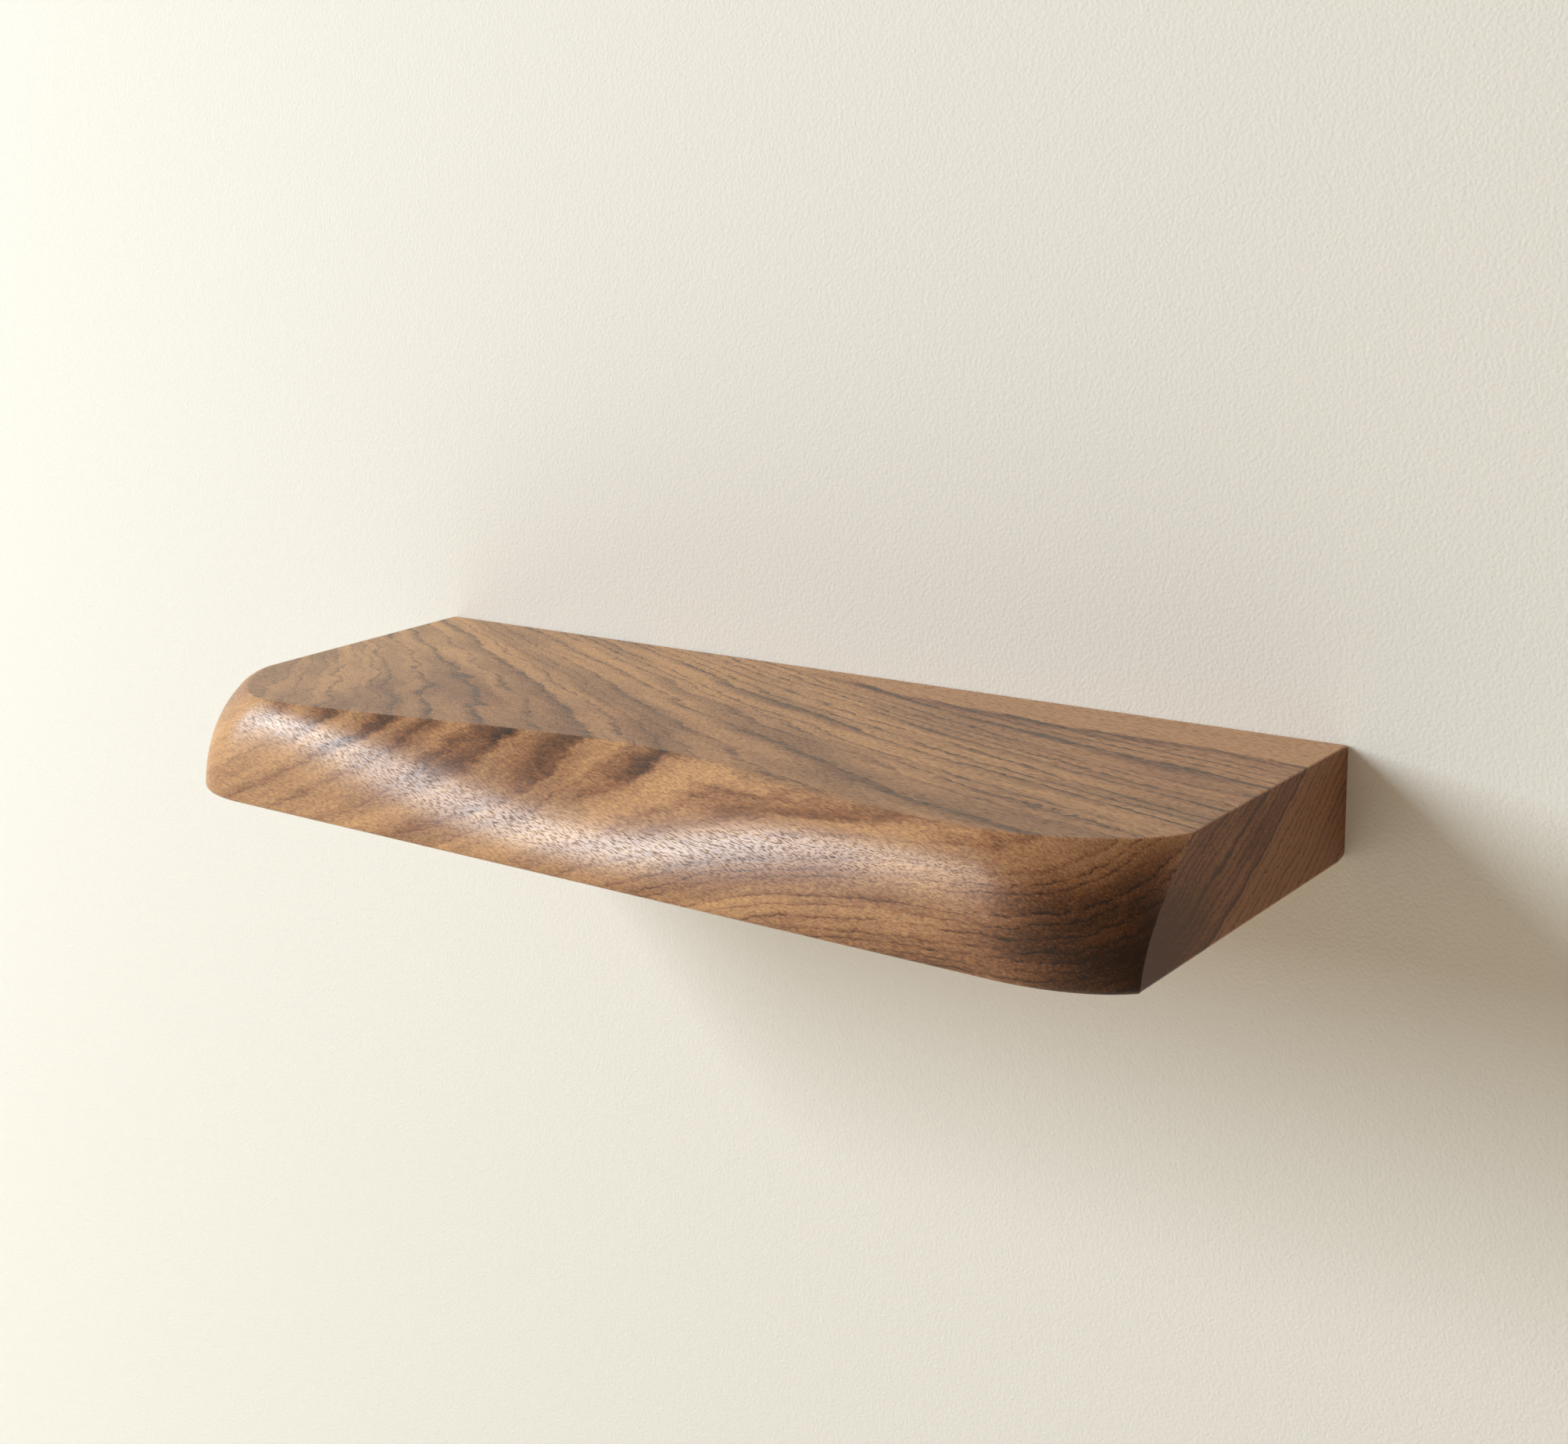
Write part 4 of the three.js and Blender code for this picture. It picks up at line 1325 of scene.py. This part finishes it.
recess = slab(
    "recess",
    plate_middle,
    plate_size.x + 2 * recess_gap,
    plate_size.z + 2 * recess_gap,
    plate_corner + recess_gap,
    [
        (overrun, -recess_flare - overrun),
        (-recess_flare, 0),
        (-recess_depth + recess_flare, 0),
        (-recess_depth, recess_flare),
    ],
)
recess.data.materials.append(milled_walnut)
from_recess = Vector((0, -recess_depth, 0))
pockets = turned(
    "pockets",
    plain(blind_hole(pocket_radius, pocket_depth - recess_depth, recess_flare)),
    [place + from_recess for place in hole_places],
    (0, -1, 0),
    milled_walnut,
)
bores = turned(
    "bores",
    plain(blind_hole(bore_radius, bore_depth - recess_depth, recess_flare)),
    [place + from_recess for place in rod_places],
    (0, -1, 0),
    milled_walnut,
)
lock_hole = [
    (0, -overrun),
    (flange_hole["radius"] + overrun, -overrun),
    (flange_hole["radius"], 0),
    (flange_hole["radius"], flange_hole["depth"]),
    (sleeve_hole["radius"], flange_hole["depth"]),
    (sleeve_hole["radius"], sleeve_hole["depth"]),
    (screw_hole_radius, sleeve_hole["depth"]),
    (screw_hole_radius, -under_z),
    (0, -under_z),
]
lock_places = [place + Vector((0, -lock_setback, under_z)) for place in rod_places]
lock_holes = turned("lock_holes", plain(lock_hole), lock_places, (0, 0, 1), milled_walnut)
for cutter in (recess, pockets, bores, lock_holes):
    cut(board, cutter)
shaded(board, angle=skin_sharp_angle)
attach(board, "board")
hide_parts("shelf_board")


# Two threaded inserts are turned from brass: a coarse thread outside bites the wood, and a slot
# across the flange takes the driver. The fine thread inside takes the lock screw, which hides it,
# so the bore is left plain here.
insert_bore = 3.3 * mm
insert_edge = 0.2 * mm
insert_pitch = 2 * mm
insert_slot = 1.4 * mm
insert_flange_height = 1.5 * mm
insert_sleeve = 4.5 * mm
insert_root = 3.9 * mm
insert_seed = 5

# Brass from the lathe is yellow with fine rings, and tarnishes a little browner in patches.
turned_brass = patterned(
    "turned_brass",
    {"tarnish": ((4, 4, 4), {"Detail": 4.0}), "tool rings": ((8, 8, 0.3), {"Detail": 2.0})},
    ("tarnish", {0.35: "a97f3c", 0.65: "c9a25a"}),
    {"Metallic": 1.0},
    dullness=("tarnish", {"From Min": 0.3, "From Max": 0.7, "To Min": 0.42, "To Max": 0.26}),
    relief=("tool rings", {"Strength": 0.2, "Distance": 0.05 * mm}),
)

insert_nodes = ["threaded_insert_left", "threaded_insert_right"]
insert_size = node_box(insert_nodes[0])[1]
insert_length = insert_size.z
insert_flange = insert_size.x / 2
insert_face = [
    (insert_bore + 2 * insert_edge, 0),
    (insert_flange, 0),
    (insert_flange, insert_flange_height),
    (insert_root, insert_flange_height),
    (insert_root, insert_flange_height + insert_edge),
]
insert_inside = [
    (insert_root, insert_length),
    (insert_bore + insert_edge, insert_length),
    (insert_bore, insert_length - insert_edge),
    (insert_bore, insert_edge),
]
threaded_inserts = turned(
    "threaded_inserts",
    [
        *plain([(insert_bore + insert_edge, 0)]),
        *plain(eased(insert_face, insert_edge)),
        *threaded(
            insert_sleeve,
            insert_flange_height + 2 * insert_edge,
            insert_length - insert_edge,
            insert_pitch,
        ),
        *plain(insert_inside),
    ],
    [node_box(node)[0] - Vector((0, 0, insert_length / 2)) for node in insert_nodes],
    (0, 0, 1),
    turned_brass,
    hollow=True,
    sizes={
        "Thread pitch": insert_pitch,
        "Thread depth": insert_sleeve - insert_root,
        "Slot width": insert_slot,
        "Slot start": -overrun,
        "Slot length": overrun + insert_slot / 2,
        "Seed": insert_seed,
    },
)
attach(threaded_inserts, "board")
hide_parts(*insert_nodes)


# Two M6 lock screws in the inserts grip the rods. They have no heads: a hexagon socket below
# takes the key, and the blunt point above meets the rod.
lock_pitch = 1 * mm
lock_thread_depth = 0.5 * mm
lock_socket = {"size": 3 * mm, "depth": 4 * mm, "rim": machined_edge, "mouth": 1.86 * mm}
lock_point = 2 * mm
lock_point_length = 1.5 * mm
lock_seed = 8
lock_nodes = ["lock_screw_left", "lock_screw_right"]
lock_size = node_box(lock_nodes[0])[1]
lock_radius, lock_length = lock_size.x / 2, lock_size.z
lock_thread_end = lock_length - lock_point_length
blunt_point = [
    (lock_point + machined_edge, lock_thread_end + machined_edge),
    (lock_point, lock_length - machined_edge),
    (lock_point - machined_edge, lock_length),
    (0, lock_length),
]
lock_screws = turned(
    "lock_screws",
    [
        *hexagon_socket(**lock_socket),
        *plain([(lock_radius - lock_thread_depth, 0)]),
        *threaded(lock_radius, machined_edge, lock_thread_end, lock_pitch),
        *plain(blunt_point),
    ],
    [node_box(node)[0] - Vector((0, 0, lock_length / 2)) for node in lock_nodes],
    (0, 0, 1),
    zinc_plate,
    sizes={"Thread pitch": lock_pitch, "Thread depth": lock_thread_depth, "Seed": lock_seed},
)
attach(lock_screws, "board")
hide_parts(*lock_nodes)


# The wall is plaster with a stippled coat of cream emulsion. Seen from behind it is clear, so
# that the back of the shelf shows, and within the board's outline only the camera sees it, so
# that light gets to the fittings from both sides.
wall_front = 0.5 * mm
floor_z = -1.2
room_reach = 12.0
wall_colour = "ebe7df"
wall_dullness = 0.9
stipple_size = 1.8 * mm
stipple_detail = 2.0
stipple_relief = {"Strength": 0.5, "Distance": 0.6 * mm}
outline_margin = 2 * mm
paint, plaster = new_material("cream_wall_paint")
wall_place = add_node(plaster, "ShaderNodeTexCoord").outputs["Object"]
stipple = add_node(
    plaster,
    "ShaderNodeTexNoise",
    inputs={"Vector": wall_place, "Scale": 1 / stipple_size, "Detail": stipple_detail},
)
wall_relief = add_node(plaster, "ShaderNodeBump", inputs={"Height": stipple, **stipple_relief})
matt = add_node(
    plaster,
    "ShaderNodeBsdfPrincipled",
    inputs={"Base Color": linear(wall_colour), "Roughness": wall_dullness, "Normal": wall_relief},
)
clear = add_node(plaster, "ShaderNodeBsdfTransparent")
behind = add_node(plaster, "ShaderNodeNewGeometry").outputs["Backfacing"]
seen = add_node(plaster, "ShaderNodeLightPath").outputs["Is Camera Ray"]
outline_shares = (1 / (right_x - outline_margin), 0, 1 / (top_z - outline_margin))
from_board = add_node(plaster, "ShaderNodeVectorMath", multiply, {0: wall_place, 1: outline_shares})
board_share = add_node(plaster, "ShaderNodeVectorMath", {"operation": "ABSOLUTE"}, {0: from_board})
share_x, _, share_z = add_node(plaster, "ShaderNodeSeparateXYZ", inputs={"Vector": board_share}).outputs
off_board = add_node(plaster, "ShaderNodeMath", {"operation": "MAXIMUM"}, {0: share_x, 1: share_z})
by_board = add_node(plaster, "ShaderNodeMath", {"operation": "LESS_THAN"}, {0: off_board, 1: 1.0})
unseen = add_node(
    plaster, "ShaderNodeMath", {"operation": "SUBTRACT", "use_clamp": True}, {0: by_board, 1: seen}
)
open_share = add_node(plaster, "ShaderNodeMath", {"operation": "MAXIMUM"}, {0: behind, 1: unseen})
sided = add_node(plaster, "ShaderNodeMixShader", inputs={0: open_share, 1: matt, 2: clear})
add_node(plaster, "ShaderNodeOutputMaterial", inputs={"Surface": sided})


def sheet(name, corners, material):
    """A flat stage piece, which faces the side from which its corners run anticlockwise."""
    made = new_object(name, corners, faces=[(0, 1, 2, 3)])
    made.data.materials.append(material)


sheet(
    "room_wall",
    [
        (-room_reach, -wall_front, floor_z),
        (room_reach, -wall_front, floor_z),
        (room_reach, -wall_front, room_reach),
        (-room_reach, -wall_front, room_reach),
    ],
    paint,
)


# The floor is plain, pale and dull, with soft clouds half a metre across. The shelf hangs above
# it at chest height.
pale_floor = patterned(
    "pale_floor",
    {"clouds": ((500, 500, 500), {"Detail": 2.0})},
    ("clouds", {0.3: "dbd2c2", 0.7: "e1d9ca"}),
    {"Roughness": 0.8},
)
sheet(
    "room_floor",
    [
        (-room_reach, -room_reach, floor_z),
        (room_reach, -room_reach, floor_z),
        (room_reach, room_reach, floor_z),
        (-room_reach, room_reach, floor_z),
    ],
    pale_floor,
)


# Light comes from a tall window up to the left, and softly from the room, which is brighter on
# the window's side. Behind the wall the light is even and plain, for the back of the shelf.
shelf_middle = Vector((0, -100 * mm, 0))
window_colour = "ecf8ff"
window_size = (0.68, 2.6)
window_watts = 277
window_distance = 5.2
window_turn, window_height = radians(50), radians(20.5)
window_way = Vector(
    (
        -sin(window_turn) * cos(window_height),
        -cos(window_turn) * cos(window_height),
        sin(window_height),
    )
)
near_colour, far_colour = "fff0dc", "ffcf94"
near_strength, far_strength = 0.58, 0.03
sky_rise = 0.25
back_colour, back_strength = "f4f1ea", 0.6

window = bpy.data.lights.new("window_light", "AREA")
window.shape = "RECTANGLE"
window.size, window.size_y = window_size
window.energy = window_watts
window.color = linear(window_colour)[:3]
window_lamp = bpy.data.objects.new("window_light", window)
bpy.context.scene.collection.objects.link(window_lamp)
window_lamp.location = shelf_middle + window_distance * window_way
window_lamp.rotation_mode = "QUATERNION"
window_lamp.rotation_quaternion = (-window_way).to_track_quat("-Z", "Y")

room_light = bpy.data.worlds.new("room_light")
bpy.context.scene.world = room_light
room_light.use_nodes = True
sky = room_light.node_tree
sky.nodes.clear()
sky_way = add_node(sky, "ShaderNodeTexCoord").outputs["Generated"]
sky_x, sky_y, sky_z = add_node(sky, "ShaderNodeSeparateXYZ", inputs={"Vector": sky_way}).outputs
from_window = add_node(sky, "ShaderNodeMath", multiply_add, {0: sky_z, 1: -sky_rise, 2: sky_x})
sky_side = add_node(
    sky, "ShaderNodeMapRange", inputs={"Value": from_window, "From Min": -1.0, "From Max": 1.0}
)
sky_colour = add_node(
    sky,
    "ShaderNodeMix",
    mix_colours,
    {"Factor": sky_side, "A": linear(near_colour), "B": linear(far_colour)},
)
sky_strength = add_node(
    sky,
    "ShaderNodeMapRange",
    inputs={"Value": sky_side, "To Min": near_strength, "To Max": far_strength},
)
sky_light = add_node(
    sky, "ShaderNodeBackground", inputs={"Color": sky_colour, "Strength": sky_strength}
)
back_light = add_node(
    sky, "ShaderNodeBackground", inputs={"Color": linear(back_colour), "Strength": back_strength}
)
behind_wall = add_node(sky, "ShaderNodeMath", {"operation": "GREATER_THAN"}, {0: sky_y, 1: 0.0})
all_light = add_node(sky, "ShaderNodeMixShader", inputs={0: behind_wall, 1: sky_light, 2: back_light})
add_node(sky, "ShaderNodeOutputWorld", inputs={"Surface": all_light})


# The camera stands where the photograph was taken from: in front of the right end, a little
# above the shelf. Its focal length is in pixels of the photograph.
photo_width = 2006
photo_focal = 2783.6
sensor_width = 36.0
camera_place = Vector((697.5, -949.4, 312.5)) * mm
camera_turn, camera_fall, camera_roll = radians(37.798), radians(14.845), radians(-1.894)
lens = bpy.data.cameras.new("photo_view")
lens.sensor_width = sensor_width
lens.lens = sensor_width * photo_focal / photo_width
camera = bpy.data.objects.new("photo_view", lens)
bpy.context.scene.collection.objects.link(camera)
facing = Matrix.Rotation(camera_turn, 4, "Z") @ Matrix.Rotation(pi / 2 - camera_fall, 4, "X")
rolled = facing @ Matrix.Rotation(camera_roll, 4, "Z")
camera.matrix_world = Matrix.Translation(camera_place) @ rolled
bpy.context.scene.camera = camera
bpy.context.scene.view_settings.view_transform = "Standard"
